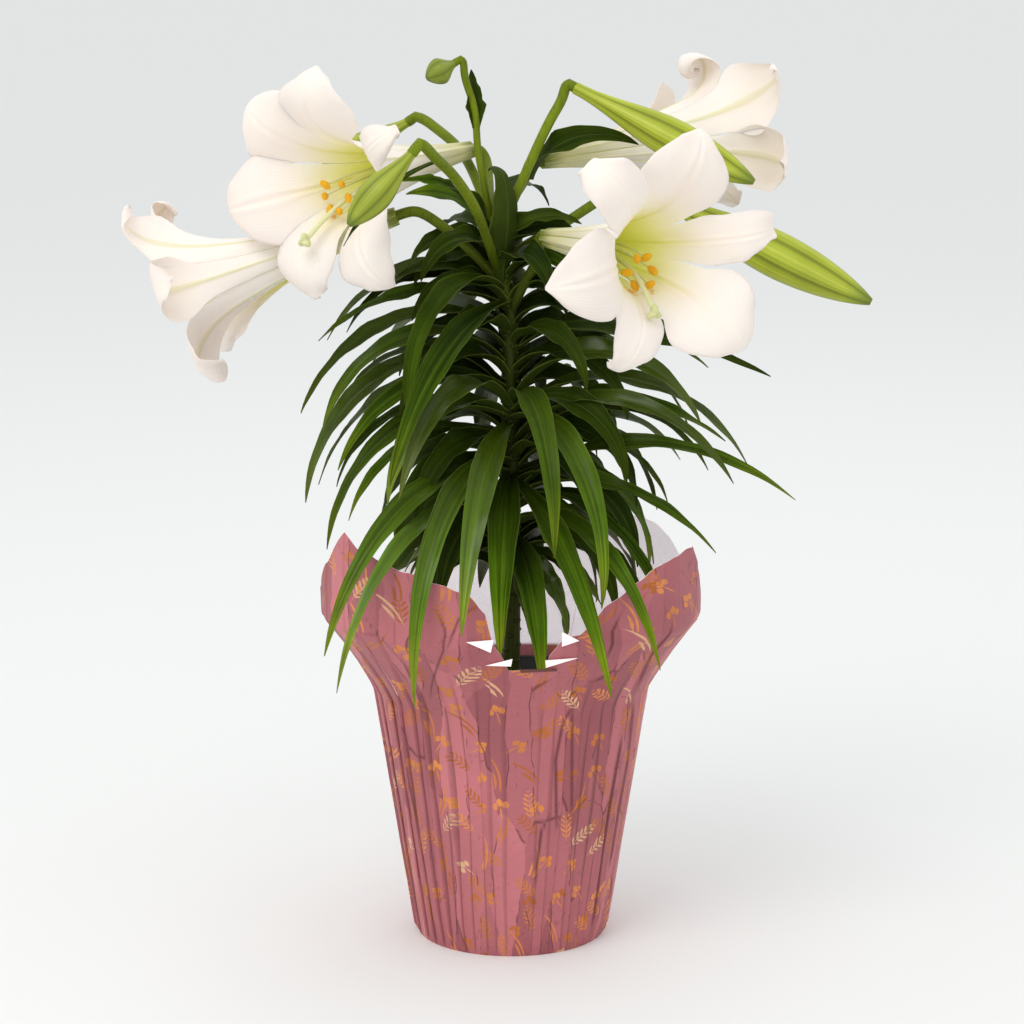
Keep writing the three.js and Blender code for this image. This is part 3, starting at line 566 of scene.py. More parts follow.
@dataclass(frozen=True)
class LeafFinish:
    """Waxy strap leaves: dark where their tone is low, bright yellow-green towards hanging tips, duller
    beneath. The bright green is partly painted light on low leaves in front, the pale margins are a painted
    highlight, and the dark underside is partly painted shade.
    """

    dark: Colour = (0.008, 0.020, 0.001)
    middle: Colour = (0.046, 0.076, 0.003)
    # Bright green of the low leaves in front: partly their own colour, partly painted light where the light
    # falls.
    fresh: Colour = (0.120, 0.250, 0.004)
    tip: Colour = (0.340, 0.430, 0.020)
    # Underside colour, darkened in part as painted shade.
    under: Colour = (0.040, 0.060, 0.008)
    # Pale edge colour: the midrib's own paler line, and a painted highlight on the margins.
    edge: Colour = (0.150, 0.190, 0.035)

    def make(self, kit: ShaderKit) -> bpy.types.Material:
        """Builds the material from the marks along, across, tone, fresh and under."""
        paint = Paint(
            "waxy_leaf",
            {"Specular IOR Level": 0.10, "Specular Tint": (0.8, 1.0, 0.35, 1.0), "Coat Roughness": 0.24},
        )
        along, across, tone, fresh, under = map(paint.mark, ("along", "across", "tone", "fresh", "under"))
        veins = paint.group(kit.veins, Across=across, Along=along, Count=7.0, Rib=0.07)
        mottle = paint.group(kit.mottle, Patch=45.0, Grain=700.0, Amount=0.4)
        spot = paint.out("ShaderNodeCombineXYZ", {0: across, 1: along, 2: tone * 57.0})
        streaks = paint.noise(spot * (3.2, 1.3, 1.0), 1.0, 4.0).ramp(0.34, 0.66)
        # Painted light in part: the bright green on low leaves in front, dimmed towards the root as painted
        # shade.
        lit = (fresh * along.ramp(0.15, 0.85, 0.06, 1.25) * (streaks * 0.8 + 0.25)).clipped()
        colour = paint.coats(
            paint.mix((streaks * 0.35 + tone).clipped(), self.dark, self.middle),
            (lit, self.fresh),
            ((along.ramp(0.7, 1.0) * (tone * 0.35 + lit)).clipped(), self.tip),
            (under * 0.7, self.under),
            (veins["Lines"] * 0.16, self.dark),
            (veins["Midrib"] * 0.22, self.edge),
            # Painted highlight: the margins made pale where the edge catches light.
            (abs(across).ramp(0.93, 1.0) * 0.6, self.edge),
        )
        paint.give("Coat Weight", tone.ramp(0.3, 1.0, 0.02, 0.5) * along.ramp(0.0, 0.3))
        height = mottle["Grain"] * 0.3 + veins["Lines"] + streaks * 1.5
        return paint.finish(paint.shaded(colour, mottle["Tone"]), under * 0.15 + 0.44, height, 0.16)


@dataclass(frozen=True)
class StalkFinish:
    """Smooth stem and stalks: dull olive low down among the leaves, as painted shade, and bright yellow-green
    above them.
    """

    low: Colour = (0.026, 0.036, 0.004)
    high: Colour = (0.140, 0.190, 0.008)
    streak: Colour = (0.055, 0.070, 0.005)
    turn: tuple[float, float] = (0.385, 0.480)

    def make(self, kit: ShaderKit) -> bpy.types.Material:
        """Builds the material, streaked up and down, and brighter past the heights of its turn."""
        paint = Paint("green_stalk", {"Specular IOR Level": 0.2, "Specular Tint": (0.9, 1.0, 0.5, 1.0)})
        place = paint.out("ShaderNodeTexCoord", None, "Object")
        streaks = paint.noise(place * (700.0, 700.0, 50.0), 1.0, 3.0)
        mottle = paint.group(kit.mottle, Patch=22.0, Grain=600.0, Amount=0.7)
        height = paint.out("ShaderNodeSeparateXYZ", {0: place}, "Z")
        # Painted shade: darker olive below the turn, where the leaves shade the stem.
        colour = paint.mix(height.ramp(*self.turn), self.low, self.high)
        colour = paint.mix(streaks.ramp(0.48, 0.75, 0.0, 0.6), colour, self.streak)
        return paint.finish(paint.shaded(colour, mottle["Tone"]), 0.42, streaks, 0.15)


@dataclass(frozen=True)
class PetalFinish:
    """White petals: warm, yellow-green in the throat with a painted glow there, and dusted with pollen near
    the anthers.
    """

    white: Colour = (0.900, 0.800, 0.740)
    blush: Colour = (0.830, 0.670, 0.610)
    cream: Colour = (0.930, 0.880, 0.470)
    throat: Colour = (0.680, 0.730, 0.085)
    foot: Colour = (0.620, 0.580, 0.290)
    grown: Colour = (0.170, 0.210, 0.025)
    rib: Colour = (0.600, 0.610, 0.270)
    pollen: Colour = (0.900, 0.360, 0.010)
    glow: Colour = (0.100, 0.098, 0.022)

    def make(self, kit: ShaderKit) -> bpy.types.Material:
        """Builds the material from the marks along, across, inside and pollen."""
        paint = Paint(
            "white_petal",
            {
                "Subsurface Weight": 0.35, "Subsurface Radius": (1.0, 0.66, 0.48), "Subsurface Scale": 0.004,
                "Specular IOR Level": 0.25, "Sheen Weight": 0.10, "Sheen Roughness": 0.4,
                "Emission Strength": 1.0,
            },
        )
        along, across, inside, pollen = map(paint.mark, ("along", "across", "inside", "pollen"))
        veins = paint.group(kit.veins, Across=across, Along=along, Count=9.0, Rib=0.16)
        mottle = paint.group(kit.mottle, Patch=25.0, Grain=500.0, Amount=0.06)
        blushing = (abs(across) * along.ramp(0.6, 1.0)).clipped() * 0.5
        bloom = paint.mix(blushing, self.white, self.blush)
        warm = paint.mix(along.ramp(0.46, 0.76), self.cream, bloom)
        glow = paint.mix(along.ramp(0.32, 0.60), self.throat, warm)
        within = paint.mix(veins["Midrib"] * along.ramp(0.45, 0.80, 0.5, 0.0), glow, self.throat)
        pale = paint.mix(along.ramp(0.02, 0.50), self.foot, bloom)
        pale = paint.mix(along.ramp(0.0, 0.09), self.grown, pale)
        without = paint.mix(veins["Midrib"] * along.ramp(0.45, 1.0, 0.6, 0.3), pale, self.rib)
        specks = (mottle["Grain"] + pollen).ramp(0.78, 1.05) * 0.85
        colour = paint.mix(specks, paint.mix(inside, without, within), self.pollen)
        # Painted glow: the inner face of the throat gives off this colour as light.
        inward = inside * along.ramp(0.40, 0.70, 1.0, 0.0)
        paint.give("Emission Color", paint.mix(inward, BLACK, self.glow))
        height = mottle["Grain"] * 0.5 + veins["Lines"]
        return paint.finish(paint.shaded(colour, mottle["Tone"]), 0.46, height, 0.04)


@dataclass(frozen=True)
class BudFinish:
    """Closed buds: yellow-green with finely lined ribs, darker in the grooves and at the tip."""

    rib: Colour = (0.540, 0.600, 0.085)
    body: Colour = (0.350, 0.410, 0.024)
    groove: Colour = (0.190, 0.225, 0.012)
    dull: Colour = (0.110, 0.160, 0.018)
    fibre_count: int = 30

    def make(self, kit: ShaderKit) -> bpy.types.Material:
        """Builds the material from the marks along, around, swell and tone."""
        paint = Paint("green_bud", {"Specular IOR Level": 0.3, "Coat Weight": 0.05})
        along, swell, tone, turn = map(paint.mark, ("along", "swell", "tone", "around"))
        mottle = paint.group(kit.mottle, Patch=40.0, Grain=500.0, Amount=0.25)
        turn = turn * (TAU * self.fibre_count)
        fibres = turn.apply("SINE", turn) * 0.5 + 0.5
        colour = paint.coats(
            paint.mix(swell.ramp(0.0, 0.22), self.groove, self.body),
            (swell.ramp(0.4, 1.0, 0.0, 0.5), self.rib),
            (fibres * 0.18, self.groove),
            (along.ramp(0.25, 0.0, 0.0, 0.45), self.body),
            (along.ramp(0.86, 1.0, 0.0, 0.8), self.dull),
            (tone, self.dull),
        )
        height = (mottle["Grain"] + fibres) * 0.6
        return paint.finish(paint.shaded(colour, mottle["Tone"]), 0.42, height, 0.15)


@dataclass(frozen=True)
class PlainFinish:
    """A tissue or plastic of one family of colours: two tones in patches, with a fine grain."""

    name: str
    low: Colour
    high: Colour
    rough: float
    patch: float = 80.0
    grain: float = 900.0
    bump: float = 0.1
    glow: float = 0.0

    def make(self, kit: ShaderKit) -> bpy.types.Material:
        """Builds the material in object space."""
        paint = Paint(self.name, {"Subsurface Weight": self.glow, "Subsurface Scale": 0.003})
        mottle = paint.group(kit.mottle, Patch=self.patch, Grain=self.grain, Amount=1.0)
        colour = paint.mix((mottle["Tone"] * 0.5).clipped(), self.low, self.high)
        rough = (mottle["Grain"] - 0.5) * 0.12 + self.rough
        return paint.finish(colour, rough, mottle["Grain"], self.bump)


@dataclass(frozen=True)
class PaperFinish:
    """Rose paper, folded into long panels, printed outside in copper and pale gold, and white inside with a
    painted glow; painted shadow darkens its folds, creases and crumple lines.
    """

    rose: Colour = (0.560, 0.180, 0.200)
    deep: Colour = (0.320, 0.090, 0.106)
    # Painted shadow along the folds, creases and crumple lines.
    fold: Colour = (0.090, 0.018, 0.024)
    copper: Colour = (0.430, 0.115, 0.026)
    orange: Colour = (0.780, 0.290, 0.085)
    gold: Colour = (0.740, 0.440, 0.250)
    gold_from: float = 0.93
    inside: Colour = (0.920, 0.890, 0.910)
    # Painted glow of the inside, given off as if light shone through the paper.
    through: Colour = (0.330, 0.300, 0.320)
    panel: tuple[float, float] = (17.0, 92.0)
    crumple: tuple[float, float] = (9.0, 21.0)
    line: float = 0.03
    scatters: tuple[tuple[float, float], ...] = ((21.0, 13.0), (29.0, 57.0))

    def panels(self, paint: Paint, sheet: Signal, size: tuple[float, float]) -> dict[str, Signal]:
        """Irregular panels of a folded sheet: their colour, distance and the lines round them."""
        inputs = {"Vector": sheet * (1 / size[0], 1 / size[1], 0.0), "Scale": 1.0, "Randomness": 0.95}
        cells = paint.outs(paint.node("ShaderNodeTexVoronoi", inputs, voronoi_dimensions="2D"))
        edges = paint.outs(
            paint.node("ShaderNodeTexVoronoi", inputs, voronoi_dimensions="2D", feature="DISTANCE_TO_EDGE")
        )
        return {**cells, "Lines": edges["Distance"].ramp(0.0, self.line, 1.0, 0.0)}

    def print_on(
        self, paint: Paint, kit: ShaderKit, paper: Signal, sheet: Signal, wear: Signal,
    ) -> tuple[Signal, Signal]:
        """Prints scatters of motifs on the paper.

        Args:
            paint: The material's wiring.
            kit: The shared groups.
            paper: The paper's colour.
            sheet: Places on the sheet.
            wear: How much of the ink is left.

        Returns:
            The printed colour, and where there is ink.
        """
        ink: Any = 0.0
        for spacing, shift in self.scatters:
            layer = paint.group(kit.motifs, Sheet=sheet, Spacing=spacing, Shift=shift)
            tint = paint.mix(layer["Tint"], self.copper, self.orange)
            tint = paint.mix(layer["Tint"].above(self.gold_from), tint, self.gold)
            shown = layer["Ink"] * wear
            paper = paint.mix(shown, paper, tint)
            ink = shown | ink
        return paper, ink

    def make(self, kit: ShaderKit) -> bpy.types.Material:
        """Builds the material from the sheet's map in metres and the marks inside, crease and facet."""
        paint = Paint("printed_paper", {"Specular IOR Level": 0.3, "Emission Strength": 1.0})
        inside, crease, facet = map(paint.mark, ("inside", "crease", "facet"))
        mottle = paint.group(kit.mottle, Patch=18.0, Grain=220.0, Amount=0.2)
        sheet = paint.out("ShaderNodeUVMap", uv_map="sheet") * (1000.0, 1000.0, 0.0)
        wander = paint.noise(sheet, 0.03, 2.0, "Color", Roughness=0.6)
        wrinkle = paint.noise(sheet, 0.09, 4.0, Roughness=0.6, Distortion=1.4)
        folded = paint.noise(sheet, 0.035, 4.0, Roughness=0.6).ramp(0.47, 0.56)
        bent = sheet + wander * (11.0, 26.0, 0.0)
        panels = self.panels(paint, bent, self.panel)
        short = self.panels(paint, bent, self.crumple)["Lines"] * wrinkle.ramp(0.52, 0.62, 0.0, 0.8)
        lines = (panels["Lines"] | short) * folded
        shade = paint.out("ShaderNodeSeparateColor", {0: panels["Color"]})
        paper = paint.mix((shade + facet * 0.25 - 0.1).clipped(), self.rose, self.deep)
        paper, ink = self.print_on(paint, kit, paper, sheet, wrinkle.ramp(0.3, 0.5, 0.6, 1.0))
        # Painted shadow: the fold colour laid on creases and crumple lines.
        paper = paint.mix((crease | lines * 0.75) * 0.9, paper, self.fold)
        colour = paint.mix(inside, paint.shaded(paper, mottle["Tone"]), self.inside)
        ink = (ink * (1.0 - inside)).clipped()
        paint.give("Metallic", ink * 0.25)
        # Painted glow on the inside of the sheet.
        paint.give("Emission Color", paint.mix(inside, BLACK, self.through))
        height = panels["Distance"] * 1.3 + wrinkle * 0.8 - lines * 0.35
        return paint.finish(colour, 0.55 - ink * 0.12, height, 1.0)


# Geometry node trees

def as_plain_mesh(piece: bpy.types.Object) -> bpy.types.Object:
    """Turns what a piece's modifiers make into its own plain mesh, and takes the modifiers off."""
    graph = bpy.context.evaluated_depsgraph_get()
    made = bpy.data.meshes.new_from_object(piece.evaluated_get(graph))
    piece.modifiers.clear()
    piece.data = made
    made.name = piece.name
    return piece


def run_tree(piece: bpy.types.Object, tree: bpy.types.NodeTree, values: dict[str, Any]) -> bpy.types.Object:
    """Runs a geometry tree on a piece and keeps the result as its mesh.

    Args:
        piece: The piece.
        tree: The tree, whose first input is the piece's geometry.
        values: The tree's other inputs by name.

    Returns:
        The piece.
    """
    modifier = piece.modifiers.new(tree.name, "NODES")
    modifier.node_group = tree
    for item in tree.interface.items_tree:
        if item.item_type == "SOCKET" and item.in_out == "INPUT" and item.name in values:
            modifier[item.identifier] = values[item.name]
    return as_plain_mesh(piece)


class GeometryTree(Wiring):
    """A geometry tree in the making, from a piece's geometry and material to its new geometry."""

    def __init__(self, name: str, inputs: dict[str, tuple[str, Any]]) -> None:
        """Starts the tree, with a socket type and default for each input between geometry and material."""
        inputs = {"Geometry": ("Geometry", None), **inputs, "Material": ("Material", None)}
        wiring, self.given, self.end = new_group(name, "GeometryNodeTree", inputs, {"Geometry": "Geometry"})
        super().__init__(wiring.tree)

    def value(self, name: str) -> Signal:
        """One of the mesh's marks."""
        return self.out("GeometryNodeInputNamedAttribute", {"Name": name}, data_type="FLOAT")

    def close(self, geometry: Signal) -> bpy.types.NodeTree:
        """Ends the tree: instances made real, shaded smooth, with the material set."""
        real = self.out("GeometryNodeRealizeInstances", {0: geometry})
        soft = self.out("GeometryNodeSetShadeSmooth", {"Geometry": real})
        done = self.out("GeometryNodeSetMaterial", {"Geometry": soft, "Material": self.given["Material"]})
        self.feed(self.end.inputs[0], done)
        return self.tree


def pleat_tree() -> bpy.types.NodeTree:
    """Pushes a smooth paper shell out and in along its folds, and crumples it, both its sides alike."""
    tree = GeometryTree("Pleats", {
        "Depth": ("Float", 0.002), "Crumple": ("Float", 0.001),
        "Crumple Size": ("Float", 20.0), "Seed": ("Float", 1.0),
    })
    given = tree.given
    place = tree.out("GeometryNodeInputPosition")
    level = place * (1.0, 1.0, 0.0)
    away = level.apply("NORMALIZE", level)
    spot = place * (0.0, 0.0, 0.45) + away * (0.09, 0.09, 0.0)
    noise = tree.out(
        "ShaderNodeTexNoise",
        {
            "Vector": spot, "W": given["Seed"], "Scale": given["Crumple Size"], "Detail": 3.0,
            "Roughness": 0.55, "Distortion": 0.4,
        },
        noise_dimensions="4D",
    )
    swing = (noise - 0.5) * given["Crumple"] * tree.value("loose")
    push = away * (tree.value("fold") * given["Depth"] + swing)
    return tree.close(tree.out("GeometryNodeSetPosition", {"Geometry": given["Geometry"], "Offset": push}))


def stalk_tree() -> bpy.types.NodeTree:
    """Sweeps a round section along every line of a mesh, at the radius that the mark girth gives."""
    tree = GeometryTree("Stalks", {"Sides": ("Int", 12)})
    line = tree.out("GeometryNodeMeshToCurve", {0: tree.given["Geometry"]})
    section = tree.out("GeometryNodeCurvePrimitiveCircle", {"Resolution": tree.given["Sides"], "Radius": 1.0})
    inputs = {0: line, 1: section, "Scale": tree.value("girth"), "Fill Caps": True}
    return tree.close(tree.out("GeometryNodeCurveToMesh", inputs))


def scatter_tree() -> bpy.types.NodeTree:
    """Strews small lumps over a surface, each turned and sized at random."""
    tree = GeometryTree("Strewn lumps", {
        "Density": ("Float", 9000.0), "Size": ("Float", 0.002),
        "Flatness": ("Float", 0.5), "Seed": ("Int", 1),
    })
    given, seed = tree.given, {"Seed": tree.given["Seed"]}
    inputs = {"Mesh": given["Geometry"], "Density": given["Density"], **seed}
    spots = tree.out("GeometryNodeDistributePointsOnFaces", inputs)
    lump = tree.out("GeometryNodeMeshIcoSphere", {"Radius": 1.0, "Subdivisions": 1})
    squash = tree.out("ShaderNodeCombineXYZ", {0: 1.5, 1: 0.9, 2: given["Flatness"]})
    lump = tree.out("GeometryNodeTransform", {"Geometry": lump, "Scale": squash})
    limits = {0: (-0.5, -0.5, 0.0), 1: (0.5, 0.5, TAU), **seed}
    turn = tree.out("FunctionNodeRandomValue", limits, data_type="FLOAT_VECTOR")
    limits = {2: given["Size"] * 0.5, 3: given["Size"] * 1.4, **seed}
    size = tree.out("FunctionNodeRandomValue", limits, 1, data_type="FLOAT")
    inputs = {"Points": spots, "Instance": lump, "Rotation": turn, "Scale": size}
    return tree.close(tree.out("GeometryNodeInstanceOnPoints", inputs))


def scar_tree() -> bpy.types.NodeTree:
    """Sets a small flat swelling at every point of a mesh, turned to the mark heading."""
    tree = GeometryTree("Leaf scars", {"Size": ("Float", 0.002)})
    points = tree.out("GeometryNodeMeshToPoints", {0: tree.given["Geometry"]})
    scar = tree.out("GeometryNodeMeshUVSphere", {"Segments": 12, "Rings": 6, "Radius": 1.0})
    scar = tree.out("GeometryNodeTransform", {"Geometry": scar, "Scale": (1.25, 0.5, 0.55)})
    turn = tree.out("ShaderNodeCombineXYZ", {2: tree.value("heading")})
    inputs = {"Points": points, "Instance": scar, "Rotation": turn, "Scale": tree.given["Size"]}
    return tree.close(tree.out("GeometryNodeInstanceOnPoints", inputs))


def declare(piece: bpy.types.Object, slot: Slot, node: str) -> None:
    """Hangs a piece on the root and hides the solid that it stands for.

    Args:
        piece: The finished piece.
        slot: The record's material slot; not used.
        node: The solid that it stands for.
    """
    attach(piece, ROOT)
    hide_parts(node)
    LOG.info("%s: %d faces", piece.name, len(piece.data.polygons))


# Cover, pot, soil and bulb

@dataclass
class PaperCover:
    """The pleated paper cover with its flared, ragged rim."""

    base_radius: float = 60
    waist_radius: float = 85
    waist_height: float = 158
    crease_height: float = 207
    flare: float = 33
    wall: float = 0.5
    hem: float = 1.2
    front: float = 6
    pleats: tuple[float, ...] = (
        -180, -156, -133, -112, -95, -83, -72, -59.5, -51, -43.5, -37, -27.6, -21.2, -13.6, -8.3, -2.7,
        12, 17.5, 22.7, 30.4, 34.8, 41, 46.6, 53, 60.4, 71, 77, 88, 108, 132, 156,
    )
    pleat_depth: float = 1.8
    crumple: float = 3.4
    crumple_size: float = 34.0
    seed: float = 3.0
    step: float = 0.9
    rim: tuple[Row, ...] = (
        (-180, 222), (-150, 228), (-122, 212), (-95, 207), (-89, 215), (-72, 245), (-59.5, 268), (-51, 260),
        (-37, 253), (-21.2, 245), (-13.6, 239), (-8.3, 229), (-6, 211), (-2.7, 200), (-1, 192), (12, 192),
        (13, 201), (17.5, 213), (22.7, 214), (30.4, 229), (41, 242), (53, 252), (71, 256), (77, 240),
        (88, 212), (104, 214), (121, 240), (134, 250), (160, 238), (180, 222),
    )
    folds: tuple[tuple[Row, ...], ...] = (
        ((-50, 10), (-50, 40), (-53, 96), (-54.5, 162)),
        ((-40.5, 100), (-40, 140), (-38, 170), (-37.5, 192), (-41, 208), (-50, 222)),
        ((-32, 10), (-30.5, 70), (-30.5, 100)),
        ((-33, 168), (-21.5, 205), (-20.5, 218), (-23, 229)),
        ((-20.5, 205), (-16, 227), (-7.5, 237)),
        ((11.5, 35), (13, 58), (14.5, 85), (19, 97)),
        ((22, 84), (19.5, 131), (21.5, 155), (26.5, 167)),
        ((29.5, 90), (27, 130), (25, 166)),
        ((58, 167), (53, 193), (57, 214)),
        ((33.5, 195), (33, 215), (36.5, 227)),
        ((55.5, 10), (54, 63), (55, 102), (56.5, 138)),
        ((64, 46), (65.5, 118), (62.5, 158)),
    )
    corners: tuple[tuple[Row, ...], ...] = (
        ((-14, 211.5), (-5.5, 213), (-6.5, 205)),
        ((-8.5, 196), (0.5, 200.5), (0, 195.5)),
        ((11.5, 199), (22.5, 199.5), (12, 194)),
        ((16.5, 217), (22, 211), (16.5, 208)),
    )
    slot: tuple[Row, ...] = ((3, 193.2), (16, 192.7), (16, 191.2), (3.5, 191))
    rows: int = 76
    facet_columns: int = 12
    open_from: float = 1.07
    map_radius: float = 78

    def lapped(self, degrees: np.ndarray, z: np.ndarray, radius: np.ndarray) -> tuple[np.ndarray, np.ndarray]:
        """The loose folds that cross the pleats.

        Args:
            degrees: Headings on the sheet.
            z: Heights there.
            radius: Radii there.

        Returns:
            How far each place is pushed out, from 0 to 1, and how near it lies to a fold's edge.
        """
        push, edge = np.zeros_like(radius), np.zeros_like(radius)
        for line in self.folds:
            at, heights = np.array(line, float).T
            gap = np.radians(degrees - np.interp(z, heights, at)) * radius
            low, high = heights[0], heights[-1]
            within = smooth(z, low - 4, low + 12) * (1 - smooth(z, high - 10, high + 4))
            push = np.maximum(push, within * np.exp(-np.maximum(gap, 0) / 8) * smooth(gap, -0.7, 0.7))
            edge = np.maximum(edge, within * bell(gap, 0.8))
        return push, edge

    def radius(self, z: np.ndarray, degrees: np.ndarray) -> np.ndarray:
        """The outer radius, before pleats, at heights and headings."""
        rise = (z - self.waist_height) / (self.crease_height - self.waist_height)
        opening = np.where(rise < 1, np.maximum(rise, 0) ** 1.15, 1 + 0.06 * (2 - rise) * (rise - 1))
        flared = self.waist_radius + self.flare * opening * (1 - 0.42 * bell(degrees - self.front, 38))
        plain = lerp(self.base_radius, self.waist_radius, z / self.waist_height)
        return np.where(z <= self.waist_height, plain, flared)

    def top(self, degrees: np.ndarray) -> np.ndarray:
        """The height of the ragged rim at headings."""
        at, heights = np.array(self.rim, float).T
        ragged = 0.5 * ripple(degrees / 360, 23, 0.2) + 0.4 * ripple(degrees / 360, 41, 0.7)
        return np.interp((degrees + 180) % 360 - 180, at, heights) + ragged

    def columns(self) -> np.ndarray:
        """Heading, fold, crease, facet tone and pleat number of each column round the cover."""
        found = []
        for j, (start, end) in enumerate(zip(self.pleats, (*self.pleats[1:], 180))):
            calm = 1 - 0.6 * bell((start + end) / 2 - self.front, 36)
            depth = (0.7 + 0.6 * draw(2 * j, 6)) * calm
            tone = draw(j, 9)
            for k in range(self.facet_columns):
                share = k / self.facet_columns
                bow = 0.12 * math.sin(math.pi * share) * (draw(j, 11) - 0.4)
                # The crease mark is painted shadow at each pleat's step.
                crease = 0.9 * calm if k == 0 else 0.0
                at = lerp(start, end - self.step, share)
                found.append((at, (share - 0.5 + bow) * depth, crease, tone, j))
            found.append((end - self.step, 0.5 * depth, 0.0, tone, j))
            found.append((end - 0.5 * self.step, 0.0, 0.3 * calm, tone, j))
        rows = np.array(found)
        missing = [at for at, _ in self.rim[1:-1] if np.abs(rows[:, 0] - at).min() > 0.2]
        between = np.stack([np.interp(missing, rows[:, 0], column) for column in rows.T], axis=1)
        rows = np.vstack([rows, between])
        return rows[np.argsort(rows[:, 0])].T

    def build(self, kit: ShaderKit, pleats: bpy.types.NodeTree) -> bpy.types.Object:
        """Makes the cover: a smooth double shell, then its pleats and crumples."""
        heading, fold, crease, tone, number = self.columns()
        share = np.linspace(0, 2, self.rows)[:, None]
        wander = 1.3 * ripple(share / 2, 0.8, 0) * ripple(number / 28, 5.0, 0.3)
        wander = wander + ripple(share / 2, 1.7, 0.2) * ripple(number / 28, 9.0, 0.1)
        degrees = heading + wander * smooth(share, 0, 0.4) * (1 - smooth(share, 1.2, 1.9))
        high = lerp(self.waist_height, self.top(heading), share - 1)
        z = np.where(share <= 1, share * self.waist_height, high)
        radius = self.radius(z, degrees)
        push, edge = self.lapped(degrees, z, radius)
        foot = smooth(share, 0, 0.03)
        outer = radius - self.hem * (1 - foot)
        middle = np.full((1, len(heading)), 2.0)
        rings = np.concatenate([
            self.place(middle, heading, 0), self.place(outer, degrees, z),
            self.place(outer - self.wall, degrees, z)[::-1], self.place(middle, heading, 1),
        ])
        marks = {
            "fold": (fold * lerp(1.0, 0.25, smooth(share, 1.0, 1.5)) + 0.7 * push) * foot,
            "loose": lerp(0.35, 1.0, smooth(share, 0.7, 1.5)) * foot,
            # Painted shadow along the steps of the pleats and the edges of the lapped folds.
            "crease": np.maximum(crease * lerp(1.0, 0.2, smooth(share, 1.0, 1.4)), 0.9 * edge) * foot,
            "facet": 0.75 * tone,
        }
        marks = {name: [np.broadcast_to(values, radius.shape)] * 2 for name, values in marks.items()}
        marks["inside"] = [0 * radius, (share >= self.open_from) + 0 * radius]
        for name, (out, back) in marks.items():
            marks[name] = np.pad(np.vstack([out, back[::-1]]), ((1, 1), (0, 0)))
        shell = Shell()
        shell.skin(rings, **marks)
        for outline in self.corners:
            shell.skin(self.patch(outline), inside=0.8)
        # The slot's shadow: a thin sheet painted with the dark crease colour.
        shell.skin(self.patch(self.slot), crease=1.0)
        material = PaperFinish().make(kit)
        made = shell.build("paper_cover_sheet", material, crease=28)
        self.lay_sheet_map(made.data, rings, heading)
        values = {"Depth": self.pleat_depth * MM, "Crumple": self.crumple * MM}
        values |= {"Crumple Size": self.crumple_size, "Seed": self.seed, "Material": material}
        return run_tree(made, pleats, values)

    def patch(self, outline: Sequence[Row]) -> np.ndarray:
        """The two faces of a thin patch that lies on the sheet: a corner turned over, or a slot's shadow."""
        degrees, z = np.array(outline, float).T
        radius = self.radius(z, degrees)
        return np.concatenate([self.place((radius + gap)[None, :], degrees, z) for gap in (1.0, 1.7)])

    @staticmethod
    def place(radius: np.ndarray, degrees: np.ndarray, z: Any) -> np.ndarray:
        """Points at a radius, heading and height."""
        angle = np.radians(degrees)
        return np.stack(np.broadcast_arrays(radius * np.sin(angle), -radius * np.cos(angle), z), axis=2)

    def lay_sheet_map(self, mesh: bpy.types.Mesh, rings: np.ndarray, heading: np.ndarray) -> None:
        """Maps the sheet flat, in metres: across by heading, and up by the length along the wall."""
        step = np.linalg.norm(np.diff(rings, axis=0), axis=2)
        rise = np.concatenate([np.zeros((1, len(heading))), np.cumsum(step, axis=0)])
        flat = np.zeros((len(mesh.vertices), 2))
        flat[:rise.size, 0] = np.broadcast_to(np.radians(heading) * self.map_radius * MM, rise.shape).ravel()
        flat[:rise.size, 1] = rise.ravel() * MM
        corners = np.empty(len(mesh.loops), int)
        mesh.loops.foreach_get("vertex_index", corners)
        spread = flat[corners]
        width = TAU * self.map_radius * MM
        for polygon in mesh.polygons:
            across = spread[polygon.loop_start:polygon.loop_start + polygon.loop_total, 0]
            if across.max() - across.min() > width / 2:
                across[across < 0] += width
        mesh.uv_layers.new(name="sheet").data.foreach_set("uv", spread.astype(np.float32).ravel())


@dataclass
class NurseryPot:
    """The moulded pot with its lip and drain holes."""

    floor_radius: float = 56
    top_radius: float = 77.5
    height: float = 156
    wall: float = 1.6
    floor: float = 2
    lip: float = 3
    lip_height: float = 9
    base: float = 1.3
    holes: int = 5
    hole_radius: float = 4.5
    hole_ring: float = 40
    sides: int = 96

    def wall_radius(self, z: float) -> float:
        """The outer radius of the wall at a height above the ground."""
        return lerp(self.floor_radius, self.top_radius, (z - self.base) / self.height)

    def within(self, z: float) -> float:
        """The inner radius of the wall at a height above the ground."""
        return self.wall_radius(z) - self.wall

    def build(self, material: bpy.types.Material) -> bpy.types.Object:
        """Makes the pot and drills its drain holes."""
        base, floor, top = self.base, self.base + self.floor, self.base + self.height
        foot = top - self.lip_height
        out, within, under = self.wall_radius, self.within, self.wall_radius(foot)
        lip = under + self.lip
        profile = [
            (0.5, base), (self.floor_radius - 1.5, base), (self.floor_radius, base + 1.5),
            (out(foot - 1), foot - 1), (under + 0.3, foot), (lip, foot + 0.3), (lip + 0.2, foot + 1.5),
            (out(top) + self.lip, top - 1), (out(top) + self.lip - 0.7, top), (within(top) + 0.6, top),
            (within(top), top - 0.8), (within(base + 5), base + 5), (within(floor) - 1, floor), (0.5, floor),
        ]
        shell = Shell()
        shell.skin(turned(profile, self.sides))
        pot = shell.build("pot_moulding", material, crease=35)
        for angle in around(self.holes) + math.pi / self.holes:
            drill = Shell()
            hole = turned([(self.hole_radius, -4), (self.hole_radius, 8)], 24)
            drill.skin(hole + ring(self.hole_ring, angle, base))
            cutter = drill.build("drill", material)
            cut = pot.modifiers.new("drain", "BOOLEAN")
            cut.operation, cut.solver, cut.object = "DIFFERENCE", "EXACT", cutter
            as_plain_mesh(pot)
            bpy.data.objects.remove(cutter)
        return pot


